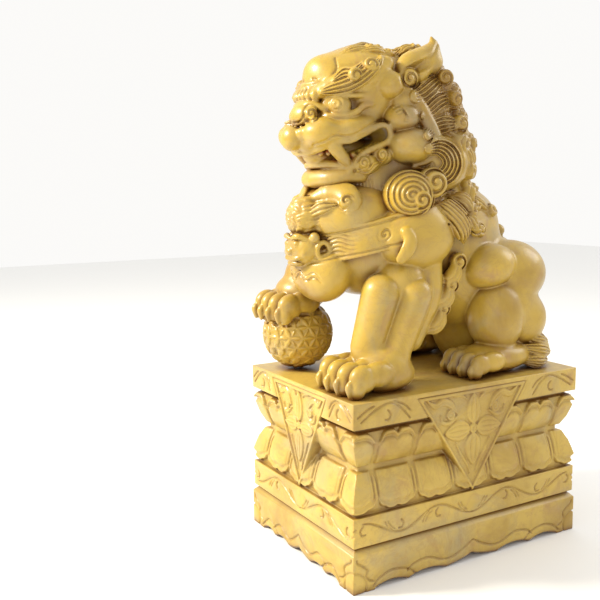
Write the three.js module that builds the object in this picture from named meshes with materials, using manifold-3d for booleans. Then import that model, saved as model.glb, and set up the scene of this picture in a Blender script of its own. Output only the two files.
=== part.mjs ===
// A guardian lion of carved marble on its lotus plinth.
// Millimetres, +Z up. The origin is the centre of the plinth's underside and the lion looks along -Y.
// Its left side is +X. The plinth is built from its own sizes. The lion is a carved figure, so its
// forms are shares of its own height.

import * as THREE from 'three';
import { mergeVertices } from 'three/addons/utils/BufferGeometryUtils.js';
import Module from 'manifold-3d';

const wasm = await Module();
wasm.setup();

// Driving sizes of the plinth
const plinthWidth = 780;
const plinthLength = 1110;
const slabThickness = 95;
const lotusHeight = 324;
const bandHeight = 114;
const footHeight = 167;

// Courses of the plinth, as depths behind the slab's faces
const undercutDepth = 18;
const waistDepth = 41;
const footOutset = 5;
const petalRelief = 13;
const waistShare = 0.5;
const waistBand = 22;

// Lotus petals
const longPetals = 5;
const shortPetals = 3;
const cornerPetal = 110;
const petalGap = 9;
const petalDepth = 62;
const petalShoulder = 34;
const petalCusp = 12;
const upperPetalTop = 22;
const petalLip = 9;

// Cloth drapes
const longDrapeHalf = 263;
const shortDrapeHalf = 200;
const drapeTop = 23;
const drapeDrop = 395;
const drapeLine = 6;
const drapeLineDepth = 4;

// Foot and apron
const shoulderDrop = 24;
const shoulderInset = 20;
const grooveRise = 4;
const apronDepth = 55;
const bracketLength = 96;
const scallopHeight = 17;
const cuspHeight = 30;
const outerLobe = 0.67;
const innerLobe = 0.28;

// The lion
const lionHeight = 1310;
const seatGap = 0.3;

const plinthHeight = footHeight + bandHeight + lotusHeight + slabThickness;
const lionUnit = lionHeight / 100;

// Solids from closed geometries

function solidFrom(geometry) {
  const bare = geometry.clone();
  bare.deleteAttribute('normal');
  bare.deleteAttribute('uv');
  const merged = mergeVertices(bare, 1e-4);
  const solid = new wasm.Manifold(new wasm.Mesh({
    numProp: 3,
    vertProperties: new Float32Array(merged.attributes.position.array),
    triVerts: new Uint32Array(merged.index.array),
  }));
  return solid;
}

function join(solids) {
  let whole = solids[0];
  for (const solid of solids.slice(1)) {
    whole = whole.add(solid);
  }
  return whole;
}

function geometryFrom(solid) {
  const mesh = solid.getMesh();
  const geometry = new THREE.BufferGeometry();
  geometry.setAttribute('position', new THREE.BufferAttribute(new Float32Array(mesh.vertProperties), 3));
  geometry.setIndex(new THREE.BufferAttribute(new Uint32Array(mesh.triVerts), 1));
  geometry.computeVertexNormals();
  return geometry;
}

// Plinth

// A rectangular stack of courses: each level is a height and its depth behind the slab's faces.
function courseStack(levels) {
  const box = new THREE.BoxGeometry(2, 2, 1, 1, 1, levels.length - 1);
  const position = box.attributes.position;
  for (let i = 0; i < position.count; i += 1) {
    const row = Math.round((position.getZ(i) + 0.5) * (levels.length - 1));
    const [height, depth] = levels[row];
    const x = Math.sign(position.getX(i)) * (plinthWidth / 2 - depth);
    const y = Math.sign(position.getY(i)) * (plinthLength / 2 - depth);
    position.setXYZ(i, x, y, height);
  }
  return solidFrom(box);
}

// Lays an outline drawn as (along, height) on one face of the plinth and gives it a depth inwards.
function onFace(outline, face, outset, depth, curveSegments = 2) {
  const geometry = new THREE.ExtrudeGeometry(outline, { depth, bevelEnabled: false, curveSegments });
  geometry.rotateX(Math.PI / 2);
  geometry.translate(0, depth - faceReach(face) - outset, 0);
  geometry.rotateZ(face * Math.PI / 2);
  return solidFrom(geometry);
}

const isLong = (face) => face % 2 === 1;
const faceReach = (face) => (isLong(face) ? plinthWidth : plinthLength) / 2;
const faceHalf = (face) => (isLong(face) ? plinthLength : plinthWidth) / 2;
const faces = [0, 1, 2, 3];

const lotusBottom = footHeight + bandHeight;
const lotusTop = lotusBottom + lotusHeight;
const waist = lotusBottom + lotusHeight * waistShare;
const waistTop = waist + waistBand / 2;
const waistBottom = waist - waistBand / 2;

// Half of the lotus profile: from the waist out to the tips, as shares of the row's height.
const petalCurve = [[0, 1], [0.3, 0.48], [0.7, 0.08], [1, 0.14]];

function lotusStack(relief) {
  const upperTop = lotusTop - upperPetalTop;
  const lowerTip = lotusBottom + petalLip;
  const lower = petalCurve.map(([rise, depth]) => [
    waistBottom - rise * (waistBottom - lowerTip),
    depth * waistDepth + relief,
  ]).reverse();
  const upper = petalCurve.map(([rise, depth]) => [
    waistTop + rise * (upperTop - waistTop),
    depth * waistDepth + relief,
  ]);
  return courseStack([
    [lotusBottom - 1, relief],
    ...lower,
    ...upper,
    [lotusTop + 1, undercutDepth + relief],
  ]);
}

// A petal's outline: square at the waist, rounded shoulders and a dip or point in the middle.
function petalOutline(left, right, root, tip, cusp, roundLeft, roundRight) {
  const grow = Math.sign(tip - root);
  const shoulder = tip - grow * petalShoulder;
  const middle = (left + right) / 2;
  const taper = petalGap * 0.7;
  const outline = new THREE.Shape();
  outline.moveTo(left + (roundLeft ? taper : 0), root);
  if (roundLeft) {
    outline.lineTo(left, shoulder);
    outline.quadraticCurveTo(left, tip, (left + middle) / 2, tip);
  } else {
    outline.lineTo(left, tip);
  }
  if (roundLeft && roundRight) {
    outline.lineTo(middle, tip - grow * cusp);
  }
  if (roundRight) {
    outline.lineTo((right + middle) / 2, tip);
    outline.quadraticCurveTo(right, tip, right, shoulder);
  } else {
    outline.lineTo(right, tip);
  }
  outline.lineTo(right - (roundRight ? taper : 0), root);
  outline.closePath();
  return outline;
}

function petalRow(face, root, tip, cusp) {
  const half = faceHalf(face);
  const count = isLong(face) ? longPetals : shortPetals;
  const pitch = (2 * half - 2 * cornerPetal) / count;
  const edge = petalGap / 2;
  const petals = [
    petalOutline(-half, -half + cornerPetal - edge, root, tip, cusp, false, true),
    petalOutline(half - cornerPetal + edge, half, root, tip, cusp, true, false),
  ];
  for (let i = 0; i < count; i += 1) {
    const left = -half + cornerPetal + i * pitch;
    petals.push(petalOutline(left + edge, left + pitch - edge, root, tip, cusp, true, true));
  }
  return petals.map((outline) => onFace(outline, face, 0, petalDepth));
}

function lotusRows() {
  const petals = [];
  for (const face of faces) {
    petals.push(...petalRow(face, waistTop, lotusTop - upperPetalTop + 4, petalCusp));
    petals.push(...petalRow(face, waistBottom, lotusBottom + petalLip, -petalCusp * 0.5));
  }
  return join(petals).intersect(lotusStack(0));
}

function triangle(half, top, drop) {
  const outline = new THREE.Shape();
  outline.moveTo(-half, top);
  outline.lineTo(0, top - drop);
  outline.lineTo(half, top);
  outline.closePath();
  return outline;
}

const drapeHalf = (face) => (isLong(face) ? longDrapeHalf : shortDrapeHalf);
const drapeLevel = plinthHeight - drapeTop;

function drape(face) {
  return onFace(triangle(drapeHalf(face), drapeLevel, drapeDrop), face, 0, waistDepth + petalRelief);
}

// The groove that parts the drape from the slab.
function drapeGroove(face) {
  const half = drapeHalf(face);
  const grow = drapeLine * drapeDrop / half;
  const outer = triangle(half + drapeLine * 2, drapeLevel + drapeLine, drapeDrop + grow + drapeLine);
  const inner = triangle(half, drapeLevel, drapeDrop);
  return onFace(outer, face, 1, drapeLineDepth + 1).subtract(onFace(inner, face, 2, drapeLineDepth + 9));
}

// One arch of the apron, from one lobe on the ground to the next.
function arch(outline, from, to) {
  outline.quadraticCurveTo((from + to) / 2, 2 * scallopHeight, to, 0);
}

// The opening under the apron on one face: two arches each side of a raised point.
function apronOpening(face) {
  const reach = faceHalf(face) + footOutset - bracketLength;
  const outer = reach * outerLobe;
  const inner = reach * innerLobe;
  const outline = new THREE.Shape();
  outline.moveTo(-reach, -1);
  outline.lineTo(-reach, 0);
  arch(outline, -reach, -outer);
  arch(outline, -outer, -inner);
  outline.quadraticCurveTo(-inner * 0.3, cuspHeight * 0.3, 0, cuspHeight);
  outline.quadraticCurveTo(inner * 0.3, cuspHeight * 0.3, inner, 0);
  arch(outline, inner, outer);
  arch(outline, outer, reach);
  outline.lineTo(reach, -1);
  outline.closePath();
  return onFace(outline, face, footOutset + 1, apronDepth + footOutset, 4);
}

function plinthSolid() {
  const slab = courseStack([[lotusTop, 0], [plinthHeight, 0]]);
  const core = lotusStack(petalRelief);
  const band = courseStack([
    [footHeight - shoulderDrop, -footOutset],
    [footHeight, shoulderInset],
    [footHeight + grooveRise, 0],
    [lotusBottom, 0],
  ]);
  const foot = courseStack([[0, -footOutset], [footHeight - shoulderDrop, -footOutset]]);
  let solid = join([slab, core, band, foot, lotusRows(), ...faces.map(drape)]);
  for (const face of faces) {
    solid = solid.subtract(drapeGroove(face)).subtract(apronOpening(face));
  }
  return solid;
}

// Lion, in hundredths of its height, measured from the centre of the plinth's top

const direction = new THREE.Vector3();
const upright = new THREE.Vector3(0, 1, 0);

function aim(geometry, from, to) {
  direction.set(to[0] - from[0], to[1] - from[1], to[2] - from[2]).normalize();
  const turn = new THREE.Quaternion().setFromUnitVectors(upright, direction);
  geometry.applyQuaternion(turn);
  geometry.translate(from[0], from[1], from[2]);
  return geometry;
}

// A rounded mass with its own radii, tilted about X, in degrees.
function mass(centre, radii, { fine = 1, tilt = 0 } = {}) {
  const geometry = new THREE.SphereGeometry(1, 5 + fine * 3, 3 + fine * 2);
  geometry.scale(radii[0], radii[1], radii[2]);
  geometry.rotateX(THREE.MathUtils.degToRad(tilt));
  geometry.translate(centre[0], centre[1], centre[2]);
  return solidFrom(geometry);
}

// A tapering round-ended limb between two points.
function limb(from, fromRadius, to, toRadius, sides = 6) {
  const length = Math.hypot(to[0] - from[0], to[1] - from[1], to[2] - from[2]);
  const profile = [
    new THREE.Vector2(0, -fromRadius),
    new THREE.Vector2(fromRadius, 0),
    new THREE.Vector2(toRadius, length),
    new THREE.Vector2(toRadius * 0.6, length + toRadius * 0.8),
    new THREE.Vector2(0, length + toRadius),
  ];
  return solidFrom(aim(new THREE.LatheGeometry(profile, sides), from, to));
}

// A flame-shaped lock of hair: a body that narrows to a point.
function lock(from, to, radius) {
  const length = Math.hypot(to[0] - from[0], to[1] - from[1], to[2] - from[2]);
  const profile = [
    new THREE.Vector2(0, -radius),
    new THREE.Vector2(radius, length * 0.25),
    new THREE.Vector2(0, length),
  ];
  return solidFrom(aim(new THREE.LatheGeometry(profile, 6), from, to));
}

// A curl of hair: a disc with a ring groove round its knob, facing along the given direction.
function curl(centre, facing, radius, height, sides = 6) {
  const profile = [
    new THREE.Vector2(0, -height),
    new THREE.Vector2(radius, 0),
    new THREE.Vector2(radius * 0.78, height),
    new THREE.Vector2(radius * 0.45, height * 0.5),
    new THREE.Vector2(0, height * 1.25),
  ];
  const tip = [centre[0] + facing[0], centre[1] + facing[1], centre[2] + facing[2]];
  return solidFrom(aim(new THREE.LatheGeometry(profile, sides), centre, tip));
}

// Makes a form on the lion's left and its mirror on the right.
function pair(make) {
  return [make(1), make(-1)];
}

function body() {
  return [
    limb([0, -8, 46], 20, [0, 17, 27], 20, 12),
    mass([0, -20, 38], [18, 16, 15]),
    mass([0, -19, 50], [18, 18, 10]),
    mass([0, 14, 44], [17, 16, 14]),
    mass([0, 24, 9], [15, 15, 15]),
    ...pair((s) => mass([s * 17, 24, 29], [10, 12, 12], { fine: 2 })),
  ];
}

function toes(count, place) {
  return Array.from({ length: count }, (unused, toe) => place(toe));
}

function hindLegs() {
  const forms = [];
  for (const s of [1, -1]) {
    forms.push(mass([s * 20, 10, 31], [7.5, 10, 6], { tilt: 6 }));
    forms.push(mass([s * 20, 13, 17], [8.5, 9.5, 12]));
    forms.push(mass([s * 19.5, 27, 15], [9, 8, 10]));
    forms.push(mass([s * 19, 17, 4], [8, 13, 5]));
    forms.push(mass([s * 20, 32, 5], [7, 6, 5.5], { fine: 0 }));
    forms.push(...toes(4, (toe) => {
      const x = s * (12.5 + toe * 4.3);
      return limb([x, 10, 3.2], 2.9, [x + s * 0.6, 3.4, 2.6], 2.7);
    }));
  }
  return forms;
}

function leftForeleg() {
  return [
    mass([20, -12, 41], [7.5, 11, 11]),
    limb([19, -19, 33], 9, [18, -27, 9], 8, 8),
    mass([17.5, -27, 6], [10.5, 9, 6.5]),
    ...toes(4, (toe) => {
      const x = 9.3 + toe * 5.4;
      return limb([x, -29, 5.4], 3.4, [x, -36.4 - toe * 0.4, 3], 3.1);
    }),
  ];
}

function rightForeleg() {
  return [
    mass([-20, -12, 41], [7.5, 11, 11]),
    limb([-18, -16, 40], 9, [-18, -28, 29], 8, 8),
    mass([-18.5, -30, 24], [10.5, 9.5, 7.2]),
    mass([-18.6, -31, 10.8], [11.3, 11.4, 11.2], { fine: 2 }),
    ...toes(4, (toe) => {
      const x = -11.3 - toe * 4.9;
      return limb([x, -33, 24.5], 3.4, [x, -40, 20.5], 3);
    }),
  ];
}

function legHair() {
  const forms = [];
  for (const s of [1, -1]) {
    const lift = s > 0 ? 0 : 6;
    forms.push(curl([s * 21.5, -1, 36 + lift], [s, -0.2, 0], 4.2, 3));
    forms.push(curl([s * 20.5, -4.5, 28.5 + lift], [s, -0.2, 0], 3.8, 3));
    forms.push(limb([s * 18, -14, 36 + lift], 6, [s * 19, -10, 19 + lift], 4));
    forms.push(curl([s * 18, 6, 49], [s, 0.3, 0.6], 5.4, 4));
    forms.push(mass([s * 17, 1, 42], [8.5, 8.5, 11]));
  }
  return forms;
}

// The collar ribbon is an elliptical ring that dips to the bell.
function ribbon() {
  const half = 5;
  const profile = [
    new THREE.Vector2(0.55, -half),
    new THREE.Vector2(1, -half),
    new THREE.Vector2(1, half),
    new THREE.Vector2(0.55, half),
    new THREE.Vector2(0.55, -half),
  ];
  const ring = new THREE.LatheGeometry(profile, 16);
  ring.rotateX(Math.PI / 2);
  ring.scale(22, 23.5, 1);
  ring.rotateX(THREE.MathUtils.degToRad(17));
  ring.translate(0, -14.5, 47.5);
  return solidFrom(ring);
}

function chestOrnaments() {
  return [
    ribbon(),
    mass([0, -40, 48.5], [6.5, 5.5, 5.5]),
    mass([0, -38.5, 40], [8.5, 5, 4.5]),
    mass([0, -36.5, 33], [7, 4.5, 6.5]),
  ];
}

function skull() {
  return [
    mass([0, -21, 83.5], [17, 19.5, 15], { fine: 2 }),
    mass([0, -28.6, 88], [11, 11.4, 9.5], { tilt: 15 }),
    ...pair((s) => limb([s * 5, -37.5, 84], 3.6, [s * 16, -19, 91], 4)),
    ...pair((s) => mass([s * 9.5, -34, 79.5], [3.8, 3.2, 2.8], { fine: 0 })),
    ...pair((s) => mass([s * 14.5, -20.5, 84], [4.6, 4.4, 4.6], { fine: 0 })),
    ...pair((s) => mass([s * 15.5, -16.5, 77.5], [5.5, 6, 4.8])),
    ...pair((s) => mass([s * 16, -14.5, 69], [7.2, 8.5, 6.2])),
  ];
}

function muzzle() {
  return [
    mass([0, -30, 73.5], [12.5, 12.5, 6]),
    ...pair((s) => mass([s * 7, -35.5, 70.8], [7, 8.5, 5])),
    mass([0, -43, 71.8], [4.2, 3.6, 3.6]),
    ...pair((s) => mass([s * 4.4, -41.5, 72.2], [2.9, 3, 2.7], { fine: 0 })),
    mass([0, -39, 77], [4.5, 4, 4.5], { fine: 0 }),
    ...pair((s) => mass([s * 11.5, -20.5, 71.5], [4.5, 5.5, 5], { fine: 0 })),
    ...pair((s) => lock([s * 8.5, -35, 69], [s * 8.5, -33.5, 61], 2.2)),
  ];
}

function lowerJaw() {
  return [
    mass([0, -29, 59], [11.5, 12.5, 5]),
    mass([0, -28, 63.5], [6.5, 9.5, 2.2], { fine: 0 }),
    ...pair((s) => lock([s * 6, -38, 60], [s * 6, -39.5, 66], 1.8)),
    ...pair((s) => curl([s * 11, -26.5, 62.5], [s * 0.8, -0.6, 0], 3.8, 3)),
    ...pair((s) => curl([s * 12.5, -20, 65], [s * 0.9, -0.4, 0], 3.8, 3)),
  ];
}

function ears() {
  return [
    ...pair((s) => lock([s * 15, -11.5, 87.5], [s * 14, -0.5, 100], 5.8)),
    ...pair((s) => curl([s * 16.5, -13.5, 87.7], [s, -0.3, 0.1], 4, 3)),
  ];
}

// One tier of mane curls on an arc round the back of the head.
function maneTier(count, height, reachX, reachY, centreY, radius, startAngle) {
  const curls = [];
  for (let i = 0; i < count; i += 1) {
    const angle = THREE.MathUtils.degToRad(startAngle + i * (180 - 2 * startAngle) / (count - 1));
    const facing = [Math.cos(angle), Math.sin(angle) * 0.9, 0.15];
    const centre = [Math.cos(angle) * reachX, centreY + Math.sin(angle) * reachY, height];
    curls.push(curl(centre, facing, radius, radius * 0.65));
  }
  return curls;
}

function mane() {
  return [
    mass([0, -6, 76], [21, 18.5, 19]),
    mass([0, -1, 64], [22, 18, 17]),
    ...maneTier(3, 88.5, 12, 10, -6, 6, 35),
    ...maneTier(4, 79, 18, 14, -4, 6.6, 14),
    ...maneTier(5, 68, 20, 15.6, -3, 6.8, 2),
    ...maneTier(3, 57.5, 17, 17.5, -1, 6.6, 35),
    ...pair((s) => curl([s * 20, -18.5, 54.5], [s * 0.9, -0.5, 0.1], 8.4, 4.6, 10)),
    ...pair((s) => curl([s * 21, -8.5, 59], [s, -0.1, 0.1], 5.4, 3.6)),
  ];
}

function tail() {
  return [
    limb([0, 32, 12], 7, [0, 33, 30], 5.5),
    curl([0, 38, 22], [0, 1, 0.2], 6, 3),
    lock([0, 35, 28], [0, 32, 44], 5),
  ];
}

function lionSolid() {
  const figure = join([
    ...body(), ...hindLegs(), ...leftForeleg(), ...rightForeleg(), ...legHair(),
    ...chestOrnaments(), ...skull(), ...muzzle(), ...lowerJaw(), ...ears(), ...mane(), ...tail(),
  ]);
  const below = new THREE.BoxGeometry(100, 120, 20);
  below.translate(0, 0, -10);
  return figure.subtract(solidFrom(below));
}

// Materials and placement

const marble = new THREE.MeshStandardMaterial({ color: 0xdcbf7a, roughness: 0.34, metalness: 0 });
const plinthMarble = new THREE.MeshStandardMaterial({ color: 0xd8bb78, roughness: 0.38, metalness: 0 });

const lionGeometry = geometryFrom(lionSolid());
lionGeometry.scale(lionUnit, lionUnit, lionUnit);
const lion = new THREE.Mesh(lionGeometry, marble);
lion.name = 'lion';
lion.position.set(0, 0, plinthHeight + seatGap);

const plinth = new THREE.Mesh(geometryFrom(plinthSolid()), plinthMarble);
plinth.name = 'plinth';

const group = new THREE.Group();
group.add(plinth, lion);

export default group;
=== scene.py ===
import math

import bmesh
import bpy
import numpy as np
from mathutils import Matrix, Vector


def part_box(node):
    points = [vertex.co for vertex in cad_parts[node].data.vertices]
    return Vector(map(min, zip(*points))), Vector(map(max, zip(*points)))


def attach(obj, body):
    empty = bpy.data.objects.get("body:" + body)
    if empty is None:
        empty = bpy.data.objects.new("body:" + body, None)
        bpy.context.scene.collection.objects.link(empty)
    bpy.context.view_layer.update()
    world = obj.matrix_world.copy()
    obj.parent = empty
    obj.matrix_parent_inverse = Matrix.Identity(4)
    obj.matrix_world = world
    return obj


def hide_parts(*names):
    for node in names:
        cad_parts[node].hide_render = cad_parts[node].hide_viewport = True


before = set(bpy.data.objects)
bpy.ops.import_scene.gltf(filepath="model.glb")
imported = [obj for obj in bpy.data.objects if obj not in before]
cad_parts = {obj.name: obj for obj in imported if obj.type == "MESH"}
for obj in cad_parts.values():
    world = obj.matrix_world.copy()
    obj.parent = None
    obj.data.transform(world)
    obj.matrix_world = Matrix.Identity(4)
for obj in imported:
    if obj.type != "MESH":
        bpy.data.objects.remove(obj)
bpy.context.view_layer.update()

import openvdb
from mathutils import Matrix, Vector

# Driving sizes, in metres
PLINTH_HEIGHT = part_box("plinth")[1][2]
LION_HEIGHT = 1.310
SEAT_GAP = 0.0003
UNIT = LION_HEIGHT / 100

# The sculpting grid, in lion units, and what each piece may cost in triangles
FINE_STEP = 0.24
FIELD_FAR = 3.0
HEAD_FACES = 195000
FORE_FACES = 195000
HIND_FACES = 120000
PLINTH_FACES = 190000


# Vectors

def unit(v):
    v = np.asarray(v, float)
    return v / np.linalg.norm(v)


def facing_frame(out):
    """Two directions across a surface and the one out of it: level, upward, outward."""
    out = unit(out)
    level = np.cross((0.0, 0.0, 1.0), out)
    if np.linalg.norm(level) < 1e-3:
        level = np.array((1.0, 0.0, 0.0))
    level = unit(level)
    return level, np.cross(out, level), out


def along(path, count):
    """Points on a smooth curve through the given points (Catmull-Rom)."""
    path = np.asarray(path, float)
    ends = np.vstack([2 * path[0] - path[1], path, 2 * path[-1] - path[-2]])
    spans = len(path) - 1
    points = []
    for place in np.linspace(0, spans, count):
        i = min(int(place), spans - 1)
        t = place - i
        a, b, c, d = ends[i:i + 4]
        points.append(0.5 * (2 * b + (c - a) * t + (2 * a - 5 * b + 4 * c - d) * t**2
                             + (3 * b - a - 3 * c + d) * t**3))
    return np.array(points)


def spread(values, count):
    """Values given at equal steps along a path, read off at each of its points."""
    return np.interp(np.linspace(0, 1, count), np.linspace(0, 1, len(values)), values)


# Clay: a field of distances to the surface, negative inside, that forms are added to and cut from

def soft_min(a, b, blend):
    share = np.clip(0.5 + 0.5 * (b - a) / blend, 0, 1)
    return b + (a - b) * share - blend * share * (1 - share)


class Form:
    """A shape with its box and its distance function."""

    def __init__(self, low, high, distance):
        self.low = np.asarray(low, float)
        self.high = np.asarray(high, float)
        self.distance = distance


class Clay:
    def __init__(self, low, high, step=FINE_STEP):
        self.low = np.asarray(low, float)
        self.step = step
        self.axes = [np.arange(a, b, step, dtype=np.float32) for a, b in zip(low, high)]
        self.field = np.full([len(a) for a in self.axes], FIELD_FAR, dtype=np.float32)

    def window(self, low, high):
        cut = tuple(slice(*np.searchsorted(a, (lo, hi))) for a, lo, hi in zip(self.axes, low, high))
        grid = np.meshgrid(*[a[c] for a, c in zip(self.axes, cut)], indexing="ij", sparse=True)
        return cut, grid

    def add(self, *forms, blend=1.0):
        for form in forms:
            cut, grid = self.window(form.low - blend - 0.5, form.high + blend + 0.5)
            if self.field[cut].size:
                self.field[cut] = soft_min(self.field[cut], form.distance(*grid), blend)

    def cut(self, *forms, blend=0.6):
        for form in forms:
            cut, grid = self.window(form.low - blend - 0.5, form.high + blend + 0.5)
            if self.field[cut].size:
                self.field[cut] = -soft_min(-self.field[cut], form.distance(*grid), blend)

    def carve(self, low, high, depth):
        """Lowers the surface inside a box by a depth that is a function of place."""
        cut, grid = self.window(low, high)
        if self.field[cut].size:
            self.field[cut] += depth(*grid)


def ball(centre, radii, tilt=0.0, turn=0.0):
    """An ellipsoid, tilted about X and then turned about Z, in degrees."""
    centre = np.asarray(centre, float)
    rx, ry, rz = np.broadcast_to(radii, 3)
    turned = Matrix.Rotation(math.radians(turn), 3, "Z") @ Matrix.Rotation(math.radians(tilt), 3, "X")
    axes = np.array(turned).T
    reach = np.sqrt((np.array(turned)**2) @ np.array([rx, ry, rz])**2)

    def distance(x, y, z):
        x, y, z = x - centre[0], y - centre[1], z - centre[2]
        a, b, c = (axis[0] * x + axis[1] * y + axis[2] * z for axis in axes)
        near = np.sqrt((a / rx)**2 + (b / ry)**2 + (c / rz)**2) + 1e-6
        steep = np.sqrt((a / rx**2)**2 + (b / ry**2)**2 + (c / rz**2)**2) + 1e-6
        return near * (near - 1) / steep

    return Form(centre - reach, centre + reach, distance)


def bone(start, start_radius, end, end_radius):
    """A round-ended limb that tapers between two points."""
    start, end = np.asarray(start, float), np.asarray(end, float)
    step = end - start
    length = float(step @ step)

    def distance(x, y, z):
        x, y, z = x - start[0], y - start[1], z - start[2]
        t = np.clip((x * step[0] + y * step[1] + z * step[2]) / length, 0, 1)
        off = np.sqrt((x - step[0] * t)**2 + (y - step[1] * t)**2 + (z - step[2] * t)**2)
        return off - (start_radius + (end_radius - start_radius) * t)

    low = np.minimum(start - start_radius, end - end_radius)
    high = np.maximum(start + start_radius, end + end_radius)
    return Form(low, high, distance)


def lock(path, widths, thick=0.5, hub=None, strands=0, groove=0.3, count=12):
    """A lock of hair or a roll swept along a path, flat towards the hub and grooved into strands."""
    points = along(path, count)
    radii = spread(widths, count)
    hub = points.mean(axis=0) - (0, 0, 1) if hub is None else np.asarray(hub, float)

    def distance(x, y, z):
        nearest, across_it = None, None
        for a, b, ra, rb in zip(points[:-1], points[1:], radii[:-1], radii[1:]):
            length = np.linalg.norm(b - a)
            axis = (b - a) / length
            across = unit(np.cross(axis, (a + b) / 2 - hub))
            up = np.cross(across, axis)
            px, py, pz = x - a[0], y - a[1], z - a[2]
            s = px * axis[0] + py * axis[1] + pz * axis[2]
            t = np.clip(s / length, 0, 1)
            width = ra + (rb - ra) * t
            v = (px * across[0] + py * across[1] + pz * across[2]) / width
            w = (px * up[0] + py * up[1] + pz * up[2]) / (width * thick)
            e = (s - t * length) / width
            d = (np.sqrt(v * v + w * w + e * e) - 1) * width * thick
            if nearest is None:
                nearest, across_it = d, v
            else:
                closer = d < nearest
                nearest = np.where(closer, d, nearest)
                across_it = np.where(closer, v, across_it)
        if strands:
            wave = 0.5 + 0.5 * np.cos(math.pi * strands * (np.clip(across_it, -1, 1) + 1))
            nearest = nearest + groove * wave**2
        return nearest

    reach = radii.max()
    return Form(points.min(axis=0) - reach, points.max(axis=0) + reach, distance)


def snail(centre, out, radius, height, turns=2.2, hand=1, groove=0.45, spin=0.0):
    """A spiral curl: a dome with a spiral groove that winds into its middle."""
    centre = np.asarray(centre, float)
    level, upward, outward = facing_frame(out)
    pitch = radius / turns
    reach = np.full(3, max(radius, height))

    def distance(x, y, z):
        x, y, z = x - centre[0], y - centre[1], z - centre[2]
        a, b, c = (d[0] * x + d[1] * y + d[2] * z for d in (level, upward, outward))
        rho = np.sqrt(a * a + b * b)
        near = np.sqrt((rho / radius)**2 + (c / height)**2) + 1e-6
        dome = (near - 1) * min(radius, height)
        phase = rho / pitch - hand * np.arctan2(b, a) / (2 * math.pi) + spin
        wave = 0.5 + 0.5 * np.cos(2 * math.pi * phase)
        inner = np.clip(rho / (0.5 * pitch), 0, 1)
        return dome + groove * wave**2 * inner

    return Form(centre - reach, centre + reach, distance)


# Lines and edges in a plane

def step_up(distance, width):
    """0 outside an edge, 1 inside it, over a soft rim of the given width."""
    s = np.clip(distance / width + 0.5, 0, 1)
    return s * s * (3 - 2 * s)


def smooth_line(path, count=24):
    return [tuple(p[:2]) for p in along([(a, b, 0) for a, b in path], count)]


def near_line(t, z, path):
    """Distance to a line, the share along it, and the signed distance across it."""
    nearest = np.full(np.broadcast(t, z).shape, 1e4, dtype=np.float32)
    share = np.zeros(nearest.shape, dtype=np.float32)
    across = np.zeros(nearest.shape, dtype=np.float32)
    spans = len(path) - 1
    for i, ((t0, z0), (t1, z1)) in enumerate(zip(path[:-1], path[1:])):
        dt, dz = t1 - t0, z1 - z0
        s = np.clip(((t - t0) * dt + (z - z0) * dz) / (dt * dt + dz * dz + 1e-9), 0, 1)
        ot, oz = t - t0 - dt * s, z - z0 - dz * s
        off = np.hypot(ot, oz)
        closer = off < nearest
        nearest = np.where(closer, off, nearest)
        share = np.where(closer, (i + s) / spans, share)
        across = np.where(closer, off * np.sign(ot * dz - oz * dt), across)
    return nearest, share, across


# Drawn carving: a drawing in (y, z) on an upright plane beside the lion is thrown onto the clay
# along lines from this point, in front of its left side

VIEW = np.array((202.9, -157.8, 56.5))


def draw(clay, plane, *carvings, near=7.0, far=30.0):
    for (low, high), depth in carvings:
        shares = [(x - VIEW[0]) / (plane - VIEW[0]) for x in (near, far)]
        ys = [VIEW[1] + (y - VIEW[1]) * s for y in (low[0], high[0]) for s in shares]
        zs = [VIEW[2] + (z - VIEW[2]) * s for z in (low[1], high[1]) for s in shares]
        cut, (x, y, z) = clay.window((near, min(ys), min(zs)), (far, max(ys), max(zs)))
        if clay.field[cut].size:
            scale = (plane - VIEW[0]) / (x - VIEW[0])
            clay.field[cut] += depth(VIEW[1] + (y - VIEW[1]) * scale, VIEW[2] + (z - VIEW[2]) * scale)


def extent(points, margin):
    points = np.asarray(points, float)
    return points.min(axis=0) - margin, points.max(axis=0) + margin


def groove(path, width=0.5, depth=0.4):
    line = smooth_line(path, 4 * len(path))

    def shape(a, b):
        return depth * np.clip(1 - near_line(a, b, line)[0] / width, 0, 1)**1.4

    return extent(line, width), shape


def tress(path, widths, strands, height=0.9, cut=0.45):
    """A raised lock of hair, grooved into strands that follow it."""
    line = smooth_line(path, 4 * len(path))
    places = np.linspace(0, 1, len(widths))

    def shape(a, b):
        off, share, across = near_line(a, b, line)
        half = np.interp(share, places, widths)
        v = across / half
        inside = step_up(half - off, 0.7)
        strand = (0.5 + 0.5 * np.cos(math.pi * strands * (v + 1)))**1.5
        strand = strand * np.clip(share / 0.08, 0, 1) * np.clip((1 - share) / 0.05, 0, 1)
        return -inside * (height * (1 - 0.5 * v * v) - cut * strand)

    return extent(line, max(widths) + 0.5), shape


def whorl(centre, radius, height=1.0, turns=1.7, hand=1, cut=0.6, spin=0.0):
    """A raised knob with a spiral groove."""

    def shape(a, b):
        a, b = a - centre[0], b - centre[1]
        off = np.sqrt(a * a + b * b)
        dome = np.sqrt(np.clip(1 - (off / radius)**2, 0, 1))
        phase = off / (radius / turns) - hand * np.arctan2(b, a) / (2 * math.pi) + spin
        line = (0.5 + 0.5 * np.cos(2 * math.pi * phase))**2 * np.clip(off / (0.3 * radius), 0, 1)
        edge = 0.35 * np.exp(-((off - radius - 0.25) / 0.35)**2)
        return -height * dome + cut * line * np.clip(2.5 * dome, 0, 1) + edge

    return extent([centre], radius + 1), shape


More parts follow.
